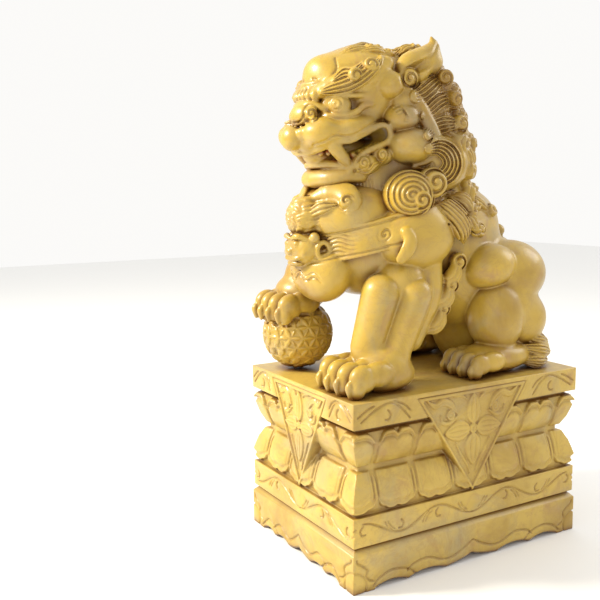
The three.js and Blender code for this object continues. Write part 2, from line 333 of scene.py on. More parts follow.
def surface_point(clay, start, out):
    """Where the clay's surface lies on the way out from a point inside it."""
    start, out = np.asarray(start, float), unit(out)
    steps = np.arange(0, 40, clay.step)[:, None] * out + start
    index = np.rint((steps - clay.low) / clay.step).astype(int)
    index = np.clip(index, 0, np.array(clay.field.shape) - 1)
    inside = np.flatnonzero(clay.field[tuple(index.T)] < 0)
    return steps[inside[-1]] if len(inside) else start


def seen_curl(clay, plane, place, radius, height=2.2, turns=1.8, hand=-1, cut=0.7):
    """Puts a curl on the clay where a place of the drawing falls on it, facing out of the surface."""
    target = np.array((plane, *place))
    out = unit(VIEW - target)
    steps = target + np.arange(16, -16, -clay.step)[:, None] * out
    index = np.clip(np.rint((steps - clay.low) / clay.step).astype(int), 2, np.array(clay.field.shape) - 3)
    hit = np.flatnonzero(clay.field[tuple(index.T)] < 0)[0]
    i, j, k = index[hit]
    f = clay.field
    normal = unit((f[i + 2, j, k] - f[i - 2, j, k],
                   f[i, j + 2, k] - f[i, j - 2, k],
                   f[i, j, k + 2] - f[i, j, k - 2]))
    facing = unit(normal + 0.8 * out)
    clay.add(snail(steps[hit] - 0.25 * height * facing, facing, radius, height, turns, hand, cut),
             blend=0.25)


# Head

def skull(clay):
    clay.add(ball((0, -20, 84), (15.3, 17.3, 14.2)))
    clay.add(ball((0, -30, 75), (11, 9.5, 6.5)), blend=2.5)
    clay.add(ball((0, -30, 87.4), (8.4, 8.6, 6.0), tilt=-38), blend=3)
    clay.add(ball((14, -20, 85.3), (5.2, 4.2, 4.1)), blend=0.4)
    clay.add(ball((14.8, -15.4, 81), (4.4, 4.2, 3.4)), blend=0.5)
    clay.add(ball((15, -16, 76.6), (5.6, 5.1, 4.2)), blend=0.4)
    clay.add(ball((15.8, -13.4, 68.7), (6.8, 6.7, 5.3)), blend=0.4)
    draw(clay, 5, groove([(-38.8, 87.2), (-36.4, 86.5), (-33.6, 87.6), (-31.2, 90.2), (-31.6, 93)],
                         0.7, 0.5), near=0)


def cheek_lines(clay):
    for shift in (0, 1, 2):
        line = [(-20.2 + shift, 78.6 - shift * 0.7), (-18.2 + shift * 0.9, 79.4 - shift * 0.8),
                (-16 + shift * 0.6, 77.4 - shift * 0.6), (-16.2 + shift * 0.4, 75.4)]
        draw(clay, 17, groove(line, 0.45, 0.4), near=12)


def eyes(clay):
    clay.cut(ball((13.0, -32.5, 80.0), (3.4, 4.0, 2.4)), blend=1.0)
    clay.add(ball((9.4, -32.9, 79.7), (3.2, 3.2, 2.9)), blend=0.3)
    clay.add(ball((6.2, -34.6, 80.0), (2.6, 2.4, 2.6)), blend=0.5)
    pupil = np.array((11.2, -35.4, 79.9))

    def iris(x, y, z):
        off = np.sqrt((x - pupil[0])**2 + (y - pupil[1])**2 + (z - pupil[2])**2)
        return 0.4 * np.exp(-((off - 1.5) / 0.3)**2) + 0.7 * np.exp(-(off / 0.6)**2)

    clay.carve((6, -38, 76.5), (13.5, -31, 83), iris)
    clay.add(lock([(4.6, -36.3, 79.6), (7.2, -35.8, 81.5), (10.4, -34, 82.3), (13, -28.6, 82.4),
                   (13.6, -25.4, 82.6),
                   (14, -23.4, 81.6)], [0.6, 0.8, 0.9, 0.9, 0.8, 0.5], thick=0.9), blend=0.35)
    clay.add(lock([(5.6, -36.6, 78.2), (8.4, -35.8, 76.9), (11.4, -32.6, 76.8), (12.6, -29.4, 78),
                   (13.2, -27.6, 79.6),
                   (13.8, -25.2, 80)], [0.6, 0.8, 0.9, 1.0, 1.0, 0.6], thick=0.9), blend=0.7)


def brows(clay):
    clay.add(lock([(5, -37.4, 83.6), (8.6, -34.2, 85), (11.8, -29.2, 86.6), (13.8, -24, 88.6),
                   (14, -20.6, 91.2)], [2.1, 2.9, 3.2, 3.1, 2.2], thick=0.8, hub=(0, -22, 80)), blend=0.9)
    draw(clay, 10,
         tress([(-39.4, 83), (-35.6, 83.9), (-30.2, 85.4), (-25.2, 88), (-21, 91.2), (-19.4, 93.6)],
               [0.9, 1.9, 2.4, 2.3, 1.8, 0.8], 4, 0.8, 0.7),
         tress([(-35.4, 86.6), (-32, 88.8), (-28.6, 89.2), (-25.6, 91.6)],
               [0.6, 1.5, 1.5, 0.6], 3, 0.6, 0.55),
         near=3)
    seen_curl(clay, 10, (-28.2, 88.2), 2.2, 1.6, 1.5, cut=0.6)
    seen_curl(clay, 10, (-22.9, 91.2), 2.5, 1.8, 1.6, cut=0.6)
    for x, y, z in ((6.6, -26, 96), (9.6, -21, 96), (3.4, -20.5, 99)):
        root = surface_point(clay, (0, -20, 82), (x * 0.9, y + 16, z - 82))
        bend = surface_point(clay, (0, -20, 82), (x, y + 20, z - 82)) + (0, 0, 0.3)
        tip = surface_point(clay, (0, -20, 82), (x, y + 25, z - 82))
        clay.add(lock([root, bend, tip], [0.9, 1.9, 1.2], thick=0.4, hub=(0, -20, 82), strands=3,
                      groove=0.45), blend=0.5)
        clay.add(snail(tip, (x / 20, 0, 1), 2.0, 1.3, turns=1.5, groove=0.6), blend=0.4)


def glabella(clay):
    """Upright rolls between the brows."""
    clay.add(ball((0, -36.2, 84.6), (5.6, 2.6, 2.4)), blend=0.6)
    for x, depth in ((0.9, 38.7), (2.9, 38.5), (4.9, 37.9)):
        clay.add(lock([(x, -depth + 0.4, 80.9), (x * 1.03, -depth - 0.8, 82.8), (x, -depth + 0.6, 85.3)],
                      [0.7, 1.15, 0.6], thick=0.9), blend=0.3)
    clay.add(lock([(0, -38.2, 86.3), (3.4, -37.4, 86.3), (6, -35.4, 87.2)], [0.7, 0.8, 0.4], thick=0.9),
             blend=0.4)


def nose(clay):
    clay.add(ball((0, -38.9, 77.4), (5.4, 3.8, 3.9)), blend=0.8)
    clay.add(lock([(0, -40, 80.4), (4, -39, 80.2), (6.4, -36.6, 79), (6.8, -35.8, 77.2)],
                  [1.3, 1.3, 1.2, 0.7], thick=0.9), blend=0.4)
    clay.add(ball((0, -43.1, 71.1), (3.9, 3.1, 3.7)), blend=0.35)
    clay.add(ball((4.0, -41.2, 72.2), (2.6, 2.7, 2.4)), blend=0.35)
    clay.add(ball((2.6, -39.6, 69.8), (4.4, 2.8, 2.6)), blend=0.6)
    draw(clay, 4, whorl((-39.0, 77.7), 2.2, 0.8, 1.5, hand=-1, cut=0.4),
         groove([(-45.4, 75.6), (-43.6, 75), (-42.2, 76), (-41.4, 77.4)], 0.5, 0.5),
         groove([(-46, 74.6), (-43.4, 73.6), (-41.2, 74.4)], 0.5, 0.5), near=0, far=12)


def muzzle(clay):
    clay.add(ball((6.8, -37.2, 72.2), (6, 5.8, 4.4)), blend=0.9)
    clay.add(ball((9.8, -28.6, 73.8), (4.9, 8.4, 3.5), tilt=14), blend=1.6)
    clay.cut(ball((0, -27.6, 69.2), (16, 8.4, 2.1), tilt=17), blend=0.7)
    clay.cut(ball((12, -21.6, 71.4), (5, 2.4, 2.1)), blend=0.7)
    clay.cut(ball((0, -35.5, 66), (9.6, 6.8, 2.0)), blend=0.7)


def lips(clay):
    rim = [(0, -39.6, 67.2), (4, -39.2, 67.3), (8.2, -37.8, 68.4), (10.4, -35.9, 69.9), (11.8, -31.4, 70),
           (12.9, -27.3, 72),
           (13.9, -23, 74.2), (14.6, -20.8, 74.3), (14.7, -19.4, 72.4), (14.2, -20, 69.7), (12.8, -25, 67.5),
           (11.8, -27.3, 66.1), (11.1, -28.5, 63.9), (10.4, -30.7, 61.7)]
    clay.add(lock(rim, [1.0, 1.1, 1.1, 1.0, 0.9, 0.9, 0.9, 1.0, 1.0, 1.0, 1.0, 1.0, 0.9, 0.7], thick=1.0,
                  count=34), blend=0.5)
    draw(clay, 13, groove([(-43.8, 68.6), (-40.4, 69.6), (-37, 71.3), (-32, 71.2), (-27.4, 73.2),
                           (-22.4, 75.6), (-18.8, 75.2)], 0.6, 0.5), near=6)


def teeth(clay):
    clay.add(lock([(9.2, -35.6, 69.8), (9.7, -33.6, 66.8), (9.9, -31.6, 64.6), (9.9, -30, 62.8)],
                  [2.5, 2.1, 1.7, 0.8], thick=0.9), blend=0.4)
    for i in range(4):
        clay.add(ball((1.0 + i * 1.9, -37.4 + i * i * 0.25, 67.0), (0.95, 0.8, 1.0)), blend=0.3)
        clay.add(ball((0.9 + i * 1.7, -34.8 + i * i * 0.3, 65.0), (0.85, 0.7, 0.9)), blend=0.3)
    clay.add(ball((0, -29.5, 65.6), (6.2, 8, 1.5), tilt=8), blend=0.4)
    clay.add(ball((0, -26, 68.4), (5.4, 9, 3.8)), blend=0.5)
    clay.add(ball((0, -34.6, 66.4), (4.8, 4.4, 2.8)), blend=0.5)
    for i in range(4):
        clay.add(ball((9.8 + 0.4 * i, -29 + i * 2.3, 66.2 + i * 0.85), (0.8, 1.0, 0.8)), blend=0.5)


def jaw(clay):
    clay.add(ball((0, -25.4, 60.6), (10.2, 9.8, 4.2)), blend=1.0)
    clay.add(ball((0, -27.4, 61.9), (9.4, 7.4, 2.2)), blend=0.8)
    clay.add(lock([(10.8, -27.4, 62.2), (9.2, -31.2, 63.2), (5.6, -34.4, 63.8), (0, -35.8, 63.9)],
                  [0.9, 1.3, 1.4, 1.4], thick=0.9), blend=0.4)
    clay.add(lock([(10.2, -26.6, 60.3), (8.8, -31, 60.4), (5.4, -34.2, 59.8), (0, -35.4, 59.6)],
                  [1.9, 2.4, 2.7, 2.7], thick=0.9), blend=0.4)


def beard(clay):
    clay.add(ball((10.4, -25.4, 63.8), (4.2, 4.6, 3)), blend=0.6)
    clay.add(ball((11.8, -21, 66), (4.2, 3.6, 2.7)), blend=0.6)
    draw(clay, 13, groove([(-30.6, 61.3), (-30.2, 63.6), (-27.6, 66.2), (-24.4, 66.4), (-22.4, 68.1),
                           (-19.6, 68.1)], 0.45, 0.4),
         tress([(-29.6, 61.6), (-26, 61.4), (-23.4, 63.4), (-21, 64.2)], [0.5, 1.1, 1.1, 0.5], 2, 0.5, 0.4),
         whorl((-27.3, 63.9), 2.0, 0.9, 1.6, hand=-1), whorl((-21.0, 66.2), 1.9, 0.9, 1.6, hand=-1), near=7)


def throat(clay):
    clay.add(bone((0, -18, 62), 12.5, (0, -17, 50), 15), blend=2)
    for shift in range(6):
        y = -28.4 + shift * 1.25
        draw(clay, 9, groove([(y, 59.6), (y + 0.7, 57.4), (y + 0.9, 54.6 - shift * 0.3)], 0.4, 0.4), near=6)


def ears(clay):
    clay.add(ball((14.6, -11.4, 90.6), (3.6, 6.2, 4.8), tilt=20), blend=0.6)
    clay.add(ball((14.2, -5.6, 92.8), (3.0, 4.6, 3.8)), blend=1.2)
    clay.add(lock([(14.6, -8.6, 93.4), (14.4, -5.6, 94.8), (14.2, -4, 97), (14, -4.6, 99.4)],
                  [3.2, 3.0, 1.9, 0.5], thick=0.8, hub=(0, -8, 86)), blend=1.0)
    clay.cut(ball((18.8, -11.2, 90.6), (2.9, 5.2, 1.9), tilt=16), blend=0.7)
    clay.add(ball((15.8, -14.4, 87.4), (2.6, 3.2, 2.9)), blend=0.4)
    draw(clay, 17, whorl((-14.4, 87.2), 2.8, 0.7, 1.5, hand=-1, cut=0.9), near=13)
    draw(clay, 17, groove([(-12.8, 90), (-9.6, 92.4), (-6.4, 94.4), (-5, 97)], 0.9, 0.5), near=14)


def mane_core(clay):
    clay.add(ball((0, -6.5, 77), (18.2, 17.6, 17.6)), blend=1)
    clay.add(ball((0, -3, 65), (19.6, 18.4, 14)), blend=3)
    clay.add(ball((0, 0, 54), (17, 15, 9)), blend=3)
    clay.add(ball((0, -11, 89), (12.5, 13, 8)), blend=3)
    clay.add(ball((16.6, -2.6, 63.4), (5.6, 8.6, 7.6)), blend=1.2)


def ridge(clay):
    """The smooth band that parts the face from the mane."""
    clay.add(lock([(16.6, -17.4, 86.2), (17.2, -14.8, 83.2), (17.8, -12, 80), (18.2, -10.2, 76.8),
                   (18.8, -8.4, 73.4),
                   (19.4, -7, 69.8), (19.4, -7, 66.6), (18.6, -9.4, 63.8), (17.6, -13.2, 62.6)],
                  [1.2, 1.9, 2.2, 2.3, 2.4, 2.4, 2.1, 1.6, 0.9], thick=0.75, hub=(0, -10, 74), count=24),
             blend=0.6)


def side_locks(clay):
    draw(clay, 17,
         tress([(-12.6, 82.4), (-9.6, 83.4), (-6.2, 85.8), (-3, 88)], [2.0, 3.2, 3.0, 1.8], 5, 1.3, 0.9),
         tress([(-10.6, 80), (-8.3, 81.8), (-5.3, 84.1), (-2.1, 85.2), (0.2, 86.8), (-0.4, 89)],
               [0.5, 0.9, 1.1, 1.1, 0.9, 0.6], 0, 1.0),
         tress([(-9.2, 77.2), (-6.6, 79.6), (-3.2, 81.8), (0.2, 82.6)], [1.6, 2.8, 2.7, 1.8], 5, 1.3, 0.9),
         tress([(-8.5, 74.8), (-6.2, 77), (-3.1, 79), (0.6, 79.8), (3.4, 80.8), (3.6, 83)],
               [0.5, 0.9, 1.1, 1.1, 0.9, 0.6], 0, 1.0),
         tress([(-7.8, 71.8), (-4.8, 74), (-1.4, 75), (2.2, 75.2)], [1.6, 2.8, 2.8, 1.8], 5, 1.3, 0.9),
         tress([(-6.4, 70), (-2.6, 71.8), (0.8, 71.8), (4.1, 71), (6.4, 72.4), (6.2, 75)],
               [0.5, 0.9, 1.2, 1.2, 1.0, 0.6], 0, 1.0), near=9)
    seen_curl(clay, 16, (-1.2, 88.2), 2.9, 2.6)
    seen_curl(clay, 15, (3.5, 82.4), 2.9, 2.6)
    seen_curl(clay, 15, (5.7, 75.4), 3.1, 2.6)


def fan_lock(clay):
    """The broad lock that swings back under the cheek and forward again into the big curls."""
    draw(clay, 18,
         tress([(-8.4, 67.6), (-4.4, 68.2), (-1, 66.6), (0.4, 63.8), (-0.8, 61.2), (-4, 59.4), (-8.6, 57.8)],
               [1.6, 2.9, 3.8, 4.3, 3.9, 3.0, 1.8], 6, 1.3, 1.0),
         tress([(-6.4, 70.6), (-1.6, 70.4), (3, 68.6), (5.3, 65.2), (4.7, 61.4), (1, 58.2), (-3.8, 55.8),
                (-9, 53.2)], [0.7, 1.2, 1.4, 1.5, 1.5, 1.5, 1.4, 0.9], 0, 1.3), near=10)
    draw(clay, 20, *[groove([(-13.6 + k * 0.9, 62.6 - k * 0.1), (-10.4 + k * 0.6, 62.4 + k * 0.5),
                             (-8.4 + k * 0.4, 60.4 + k * 0.3)], 0.42, 0.45) for k in range(4)], near=14)


def big_curls(clay):
    clay.add(snail((18.6, -16.2, 54.4), (0.9, -0.44, 0.05), 7.6, 7.2, turns=5.6, hand=-1, groove=0.65),
             blend=0.4)
    seen_curl(clay, 24, (-15.6, 53.4), 3.1, 2.6, 1.8, cut=0.9)
    clay.add(snail((21, -9.6, 57.8), (0.93, -0.33, 0.1), 4.7, 4.8, turns=2.3, hand=-1, groove=1.0),
             blend=0.3)


def back_locks(clay):
    """Rows of locks round the back of the head and neck, each ending in a curl."""
    rows = [(91, (20, 48, 76)), (84, (30, 60, 90)), (77, (34, 58, 82)), (69.5, (24, 46, 68, 90)),
            (62, (36, 60, 82)), (55, (48, 70, 90))]
    places = []
    for height, angles in rows:
        for angle in angles:
            def at(turn, lift):
                a = math.radians(turn)
                out = (math.cos(a), math.sin(a), 0)
                return surface_point(clay, (0, -6, min(height + lift, 92)), out), np.array(out)

            places.append((at(angle, 0), at(angle - 5, 4.5)[0], at(angle - 13, 8.5)[0]))
    for (curl, out), bend, root in places:
        clay.add(lock([root, bend + out * 0.6, curl + out * 1.2 + (0, 0, 1.4)], [1.8, 3.2, 2.4], thick=0.62,
                      hub=(0, -6, curl[2]), strands=5, groove=0.6), blend=0.4)
        clay.add(snail(curl + out * 0.6, out, 3.7, 3.2, turns=2.0, groove=0.75), blend=0.3)


def crown_locks(clay):
    hub = (0, -8, 80)
    for start, end in (((5, -9, 96.4), (8.4, 0, 93)), ((0, -8, 97.6), (0, 1, 95.4)),
                       ((9.4, -12, 95.4), (9.6, -6, 96.4))):
        middle = ((start[0] + end[0]) / 2, (start[1] + end[1]) / 2, max(start[2], end[2]) + 0.3)
        clay.add(lock([start, middle, end], [1.6, 2.8, 1.6], thick=0.4, hub=hub, strands=4, groove=0.5),
                 blend=0.9)
        clay.add(snail(end, (end[0] / 20, 0.7, 0.8), 2.8, 1.6, turns=1.8, groove=0.7), blend=0.5)


def head_clay():
    clay = Clay((-1.2, -48, 44), (30, 26, 101.5))
    throat(clay)
    mane_core(clay)
    back_locks(clay)
    crown_locks(clay)
    skull(clay)
    muzzle(clay)
    jaw(clay)
    beard(clay)
    cheek_lines(clay)
    brows(clay)
    eyes(clay)
    glabella(clay)
    nose(clay)
    lips(clay)
    teeth(clay)
    side_locks(clay)
    ridge(clay)
    fan_lock(clay)
    big_curls(clay)
    ears(clay)
    return clay


# Forequarters

CHEST = (0, -24, 48.5)
CHEST_SIZE = (17.5, 16.6, 11)


def on_chest(x, z, lift=0.0):
    """A place on the upper chest, in front of a given x and z."""
    off = 1 - ((x - CHEST[0]) / CHEST_SIZE[0])**2 - ((z - CHEST[2]) / CHEST_SIZE[2])**2
    return np.array((x, CHEST[1] - CHEST_SIZE[1] * math.sqrt(max(off, 0)) - lift, z))


def chest(clay):
    clay.add(ball((0, -16, 42), (18, 17, 16)))
    clay.add(ball(CHEST, CHEST_SIZE), blend=2)
    clay.add(ball((0, -20, 38), (17, 14.5, 13)), blend=3)
    clay.add(ball((0, -20, 50), (16, 15, 8)), blend=3)
    clay.add(ball((0, -2, 42), (18, 16, 16)), blend=4)


def shoulder(clay, side, lift):
    clay.add(ball((side * 17.2, -12.4, 43.4 + lift), (8.4, 13, 10.6)), blend=0.7)
    hook = [(side * 24.0, -20.6, 44.6), (side * 24.8, -20.0, 42.4), (side * 24.6, -20.8, 39.6),
            (side * 23.4, -22.0, 37.2)]
    clay.add(lock([(x, y, z + lift) for x, y, z in hook], [1.6, 2.0, 2.1, 1.5], thick=0.6, hub=(0, -13, 42)),
             blend=0.6)


def shoulder_flap(clay, side):
    """The grooved lock of hair that hangs over the back of the shoulder."""
    clay.add(lock([(side * 21, -7.8, 53), (side * 22.8, -3.8, 49.8), (side * 23, 0, 45.8),
                   (side * 21.4, 2.8, 40.4)],
                  [1.8, 4.1, 4.4, 0.7], thick=0.42, hub=(0, -4, 44), strands=7, groove=0.55, count=14),
             blend=0.4)
    for curl, radius in (((20.4, 5.4, 50), 2.7), ((20, 7.6, 44.6), 2.5)):
        place = (side * curl[0], curl[1], curl[2])
        clay.add(lock([(side * 18, curl[1] - 7, curl[2] + 5), (side * 20.6, curl[1] - 3, curl[2] + 3),
                       place], [1.6, 2.8, 1.8], thick=0.7, hub=(0, 0, 44), strands=4, groove=0.5), blend=0.4)
        clay.add(snail(place, (side, 0.35, 0.2), radius, 2.4, turns=1.8, hand=-side, groove=0.6), blend=0.3)


def leg_hair(clay, side, lift, tufts):
    """The fringe down the back of a foreleg: locks that rise to a curl."""
    hub = (0, -10, 30)
    curls = (((19.4, 1.6, 35.0), 3.0), ((19.6, -1.2, 28.4), 2.8), ((19.6, -4.2, 21.6), 2.6))
    for curl, radius in curls[:tufts]:
        place = np.array((side * curl[0], curl[1], curl[2] + lift))
        root = place + (-side * 1.2, -6.4, -6.6)
        bend = (place + root) / 2 + (side * 1.0, 1.0, -1.2)
        clay.add(lock([root, bend, place], [1.2, 3.3, 2.0], thick=0.7, hub=hub, strands=4, groove=0.4),
                 blend=0.5)
        clay.add(snail(place, (side, -0.3, 0), radius, 2.6, turns=1.6, hand=-side, groove=1.0), blend=0.25)


def paw(clay, inner, pitch, side, front, sole):
    """A paw of four tall toes with knuckles, each parted by a deep groove and ended by a long claw."""
    for toe in range(4):
        x = side * (inner + pitch * toe)
        tip = front + 1.3 - 1.3 * math.sin(math.pi * (toe + 0.6) / 4.4)
        clay.add(ball((x, tip + 9.5, sole + 6.0), (3.0, 5.5, 3.6)), blend=0.5)
        clay.add(ball((x, tip + 4.4, sole + 5.2), (2.9, 4.2, 4.0)), blend=0.3)
        clay.add(ball((x, tip + 2.4, sole + 2.9), (2.7, 2.4, 3.2)), blend=0.3)
        clay.add(lock([(x, tip + 0.9, sole + 5.4), (x, tip - 0.1, sole + 3.4), (x, tip + 0.3, sole + 0.9)],
                      [0.6, 1.15, 0.7], thick=1.0), blend=0.2)


def left_foreleg(clay):
    clay.add(bone((15.6, -17, 30), 7.6, (15.0, -23.4, 12), 5.8), blend=1.2)
    clay.add(bone((16.8, -24.0, 27), 5.8, (16.6, -28.6, 12), 5.0), blend=0.5)
    clay.add(bone((21.0, -15.6, 26.4), 5.2, (20.4, -21.6, 12), 4.8), blend=0.5)
    clay.add(lock([(16.8, -8.4, 35), (17.2, -9.0, 25), (17.6, -14, 13)], [5.2, 5.4, 3.6], thick=0.9,
                  hub=(0, -10, 25)), blend=1.0)
    clay.add(lock([(20.6, -9.6, 33), (21.4, -11, 24), (20.6, -15.4, 13)], [0.9, 1.1, 0.7], thick=1.0),
             blend=0.6)
    clay.add(ball((17.4, -25, 7), (9.2, 8.6, 6.6)), blend=1.5)
    clay.add(ball((20.2, -25.4, 4.6), (6.6, 9.6, 5.2)), blend=1.0)
    paw(clay, 9.6, 5.2, 1, -41.2, 0)


def right_foreleg(clay):
    clay.add(bone((-17.2, -15, 40), 9.5, (-18, -27.5, 29.5), 7.6), blend=1.2)
    clay.add(bone((-14.2, -23, 35), 4.8, (-15, -30, 28.5), 4.4), blend=0.8)
    clay.add(ball((-18.6, -30, 24.5), (9.2, 8, 6.0)), blend=1.5)
    paw(clay, 11.0, 4.9, -1, -43.4, 15.8)


def carved_ball(clay):
    """The ball, carved all over with rows of crossing circles that leave petals between them."""
    centre = np.array((-18.6, -31.4, 11.3))
    radius = 11.3
    clay.add(ball(centre, radius), blend=0.3)
    coins = []
    for row in range(-5, 6):
        latitude = math.radians(row * 17.3)
        flat = math.cos(latitude)
        count = max(1, round(18 * flat))
        for i in range(count):
            angle = 2 * math.pi * (i + 0.5 * (row % 2)) / count
            coins.append((flat * math.cos(angle), flat * math.sin(angle), math.sin(latitude)))

    def lattice(x, y, z):
        x, y, z = np.broadcast_arrays(x - centre[0], y - centre[1], z - centre[2])
        off = np.sqrt(x * x + y * y + z * z) + 1e-6
        skin = np.abs(off - radius) < 1.6
        x, y, z = x[skin] / off[skin], y[skin] / off[skin], z[skin] / off[skin]
        layers = np.zeros(x.shape)
        lines = np.zeros(x.shape)
        for a, b, c in coins:
            arc = radius * np.arccos(np.clip(x * a + y * b + z * c, -1, 1))
            layers += np.clip((3.95 - arc) / 0.5 + 0.5, 0, 1)
            lines = np.maximum(lines, np.clip(1 - np.abs(arc - 3.95) / 0.3, 0, 1))
        depth = np.zeros(off.shape, dtype=np.float32)
        depth[skin] = 0.6 * np.clip(3.7 - layers, 0, 1) + 0.2 * lines
        return depth

    clay.carve(centre - radius - 1, centre + radius + 1, lattice)


def ribbon(clay):
    """The collar ribbon that dips across the chest, with two edge lines, waves and a spiral."""
    centre = np.array((0, -14.5, 47.2))
    slope = math.tan(math.radians(17))
    half = 4.6

    def across(x, y, z):
        return z - centre[2] - (y - centre[1]) * slope

    def distance(x, y, z):
        ring = (np.sqrt((x / 22)**2 + ((y - centre[1]) / 23.4)**2) - 1) * 22
        return np.maximum(ring, np.abs(across(x, y, z)) - half)

    clay.add(Form((-22, -38.5, 34), (22, 9, 62), distance), blend=0.3)

    def relief(x, y, z):
        v = across(x, y, z)
        edge = 0.45 * np.exp(-((np.abs(v) - (half - 1.1)) / 0.3)**2)
        run = 23 * np.arctan2(np.abs(x), -(y - centre[1]))
        off = np.hypot(run - 25, v)
        turn = np.arctan2(v, run - 25) / (2 * math.pi)
        spiral = 0.5 * (0.5 + 0.5 * np.cos(2 * math.pi * (off / 1.5 + turn)))**2 * np.clip(2.5 - off, 0, 1)
        swell = np.clip((18 - run) / 4, 0, 1) * np.clip((run - 6) / 1.5, 0, 1)
        bend = v + 1.1 * np.sin(run / 2.1) * np.clip((run - 7) / 6, 0, 1)
        wave = 0.45 * (0.5 + 0.5 * np.cos(2 * math.pi * bend / 1.25))**2 * swell
        inside = np.clip((half - 1.7 - np.abs(v)) / 0.3, 0, 1)
        return edge + (spiral + wave) * inside

    clay.carve((-24, -41, 32), (24, 8, 62), relief)


def bell(clay):
    """The fur ball that hangs from the collar, with its leaves and side curls."""
    centre = np.array((0, -39.4, 48.8))
    clay.add(ball(centre, (6.4, 5.2, 6.2)), blend=0.4)

    def fur(x, y, z):
        x, z = x - centre[0], z - centre[2]
        fan = np.arctan2(x, z + 9) * 20
        wave = (0.5 + 0.5 * np.cos(fan + 1.4 * np.sin(z * 1.5 + 0.6 * x)))**2
        scale = (0.5 + 0.5 * np.cos(2 * math.pi * z / 1.5 + 1.6 * np.cos(fan)))**2
        return 0.38 * np.maximum(wave, 0.8 * scale)

    clay.carve((-7.5, -46.5, 41), (7.5, -33, 55), fur)
    for side in (1, -1):
        cord = [(side * x, y, z) for x, y, z in
                ((0, -41.5, 44.6), (4.6, -40.4, 46.4), (6.6, -37, 49.6), (6.2, -34.4, 53.4))]
        clay.add(lock(cord, [0.7, 0.9, 0.9, 0.6], thick=0.9), blend=0.3)
    for side in (1, -1):
        bow = [on_chest(side * x, z, 0.3) for x, z in
               ((3, 54.6), (6.4, 56), (10.4, 55.6), (13.6, 53.2), (14.4, 50.6))]
        clay.add(lock(bow, [1.4, 3.0, 3.4, 3.0, 1.0], thick=0.55, hub=CHEST), blend=0.5)
        leaf = [on_chest(side * x, z, 0.5) for x, z in ((5.6, 50.2), (8.4, 51.6), (11.4, 52.4))]
        clay.add(lock(leaf, [1.6, 2.2, 0.6], thick=0.6, hub=CHEST, strands=3, groove=0.5), blend=0.3)
        clay.add(snail(on_chest(side * 13.2, 52.8, 0.6), (side * 0.8, -0.5, 0.35), 2.7, 2.4, turns=1.7,
                       hand=-side, groove=0.8), blend=0.3)


def beast_mask(clay):
    """A small beast's face with horns, holding a ring at each side."""
    clay.add(ball((0, -39.8, 39.6), (6.9, 4.8, 5.0)), blend=0.6)
    for side in (1, -1):
        clay.add(ball((side * 2.3, -43.4, 41.2), (1.4, 1.1, 1.1)), blend=0.25)
        clay.add(lock([(side * 0.6, -43.8, 42.8), (side * 3.2, -43.4, 43.4), (side * 5.6, -40.6, 42.2)],
                      [0.7, 1.0, 0.6], thick=0.9), blend=0.25)
        clay.add(ball((side * 6.0, -39.6, 43.0), (1.7, 1.5, 1.6)), blend=0.4)
        ring = [(side * 7.6 + 0.6 * side * math.cos(a), -37.6 + 1.7 * math.cos(a), 39.4 + 2.3 * math.sin(a))
                for a in np.linspace(0, 2 * math.pi, 9)]
        clay.add(lock(ring, [0.75, 0.75], thick=1.0, count=17), blend=0.4)
        clay.add(ball((side * 4.4, -42.0, 38.6), (1.6, 1.4, 1.4)), blend=0.3)
        clay.add(lock([(side * 0.3, -43.9, 36.9), (side * 3, -43.4, 37.2), (side * 5.6, -40.8, 38.2)],
                      [0.7, 0.8, 0.6], thick=0.9), blend=0.25)
    clay.add(ball((0, -44, 39.2), (1.8, 1.4, 1.2)), blend=0.3)
    clay.add(ball((0, -42.4, 35.6), (3.6, 1.9, 1.0)), blend=0.3)


def skirt(clay):
    """The swelling front of the chest under the mask, with the tassel's wavy hem."""
    clay.add(ball((0, -34.0, 33.0), (12.4, 7.4, 9.4)), blend=3)

    def hem(x, y, z):
        drop = z - (31.6 - 0.10 * np.abs(x) + 0.7 * np.cos(x * 1.0))
        lines = 0.6 * np.exp(-(drop / 0.35)**2) + 0.4 * np.exp(-((drop - 1.3) / 0.3)**2)
        return lines * np.clip((9 - np.abs(x)) / 1.5, 0, 1)

    clay.carve((-10, -46, 28), (10, -28, 36), hem)


def fore_clay():
    clay = Clay((-31.5, -47.5, -0.6), (30, 16, 62))
    chest(clay)
    skirt(clay)
    left_foreleg(clay)
    right_foreleg(clay)
    carved_ball(clay)
    for side, lift in ((1, 0), (-1, 3)):
        leg_hair(clay, side, lift * 2, 3 - lift // 3)
        shoulder(clay, side, lift)
        shoulder_flap(clay, side)
    ribbon(clay)
    bell(clay)
    beast_mask(clay)
    return clay


# Hindquarters

def trunk(clay):
    clay.add(bone((0, -6, 45), 18.3, (0, 17, 29), 18.5))
    clay.add(ball((0, 14, 44.5), (15.5, 16.5, 13.5)), blend=4)
    clay.add(ball((0, 25, 12), (13, 13.5, 15)), blend=3)
    clay.add(ball((14.2, 27.0, 29.6), (10.8, 12.6, 10.6)), blend=2.2)
    clay.add(ball((13, 24, 20), (12, 12, 12)), blend=1.5)


def spine(clay):
    for i in range(6):
        y = 17 + i * 3.6
        top = surface_point(clay, (0, y, 30), (0, 0.35, 1))
        clay.add(ball(top - (0, 0, 0.4), (2.4, 2.3, 2.0), tilt=-40), blend=0.6)


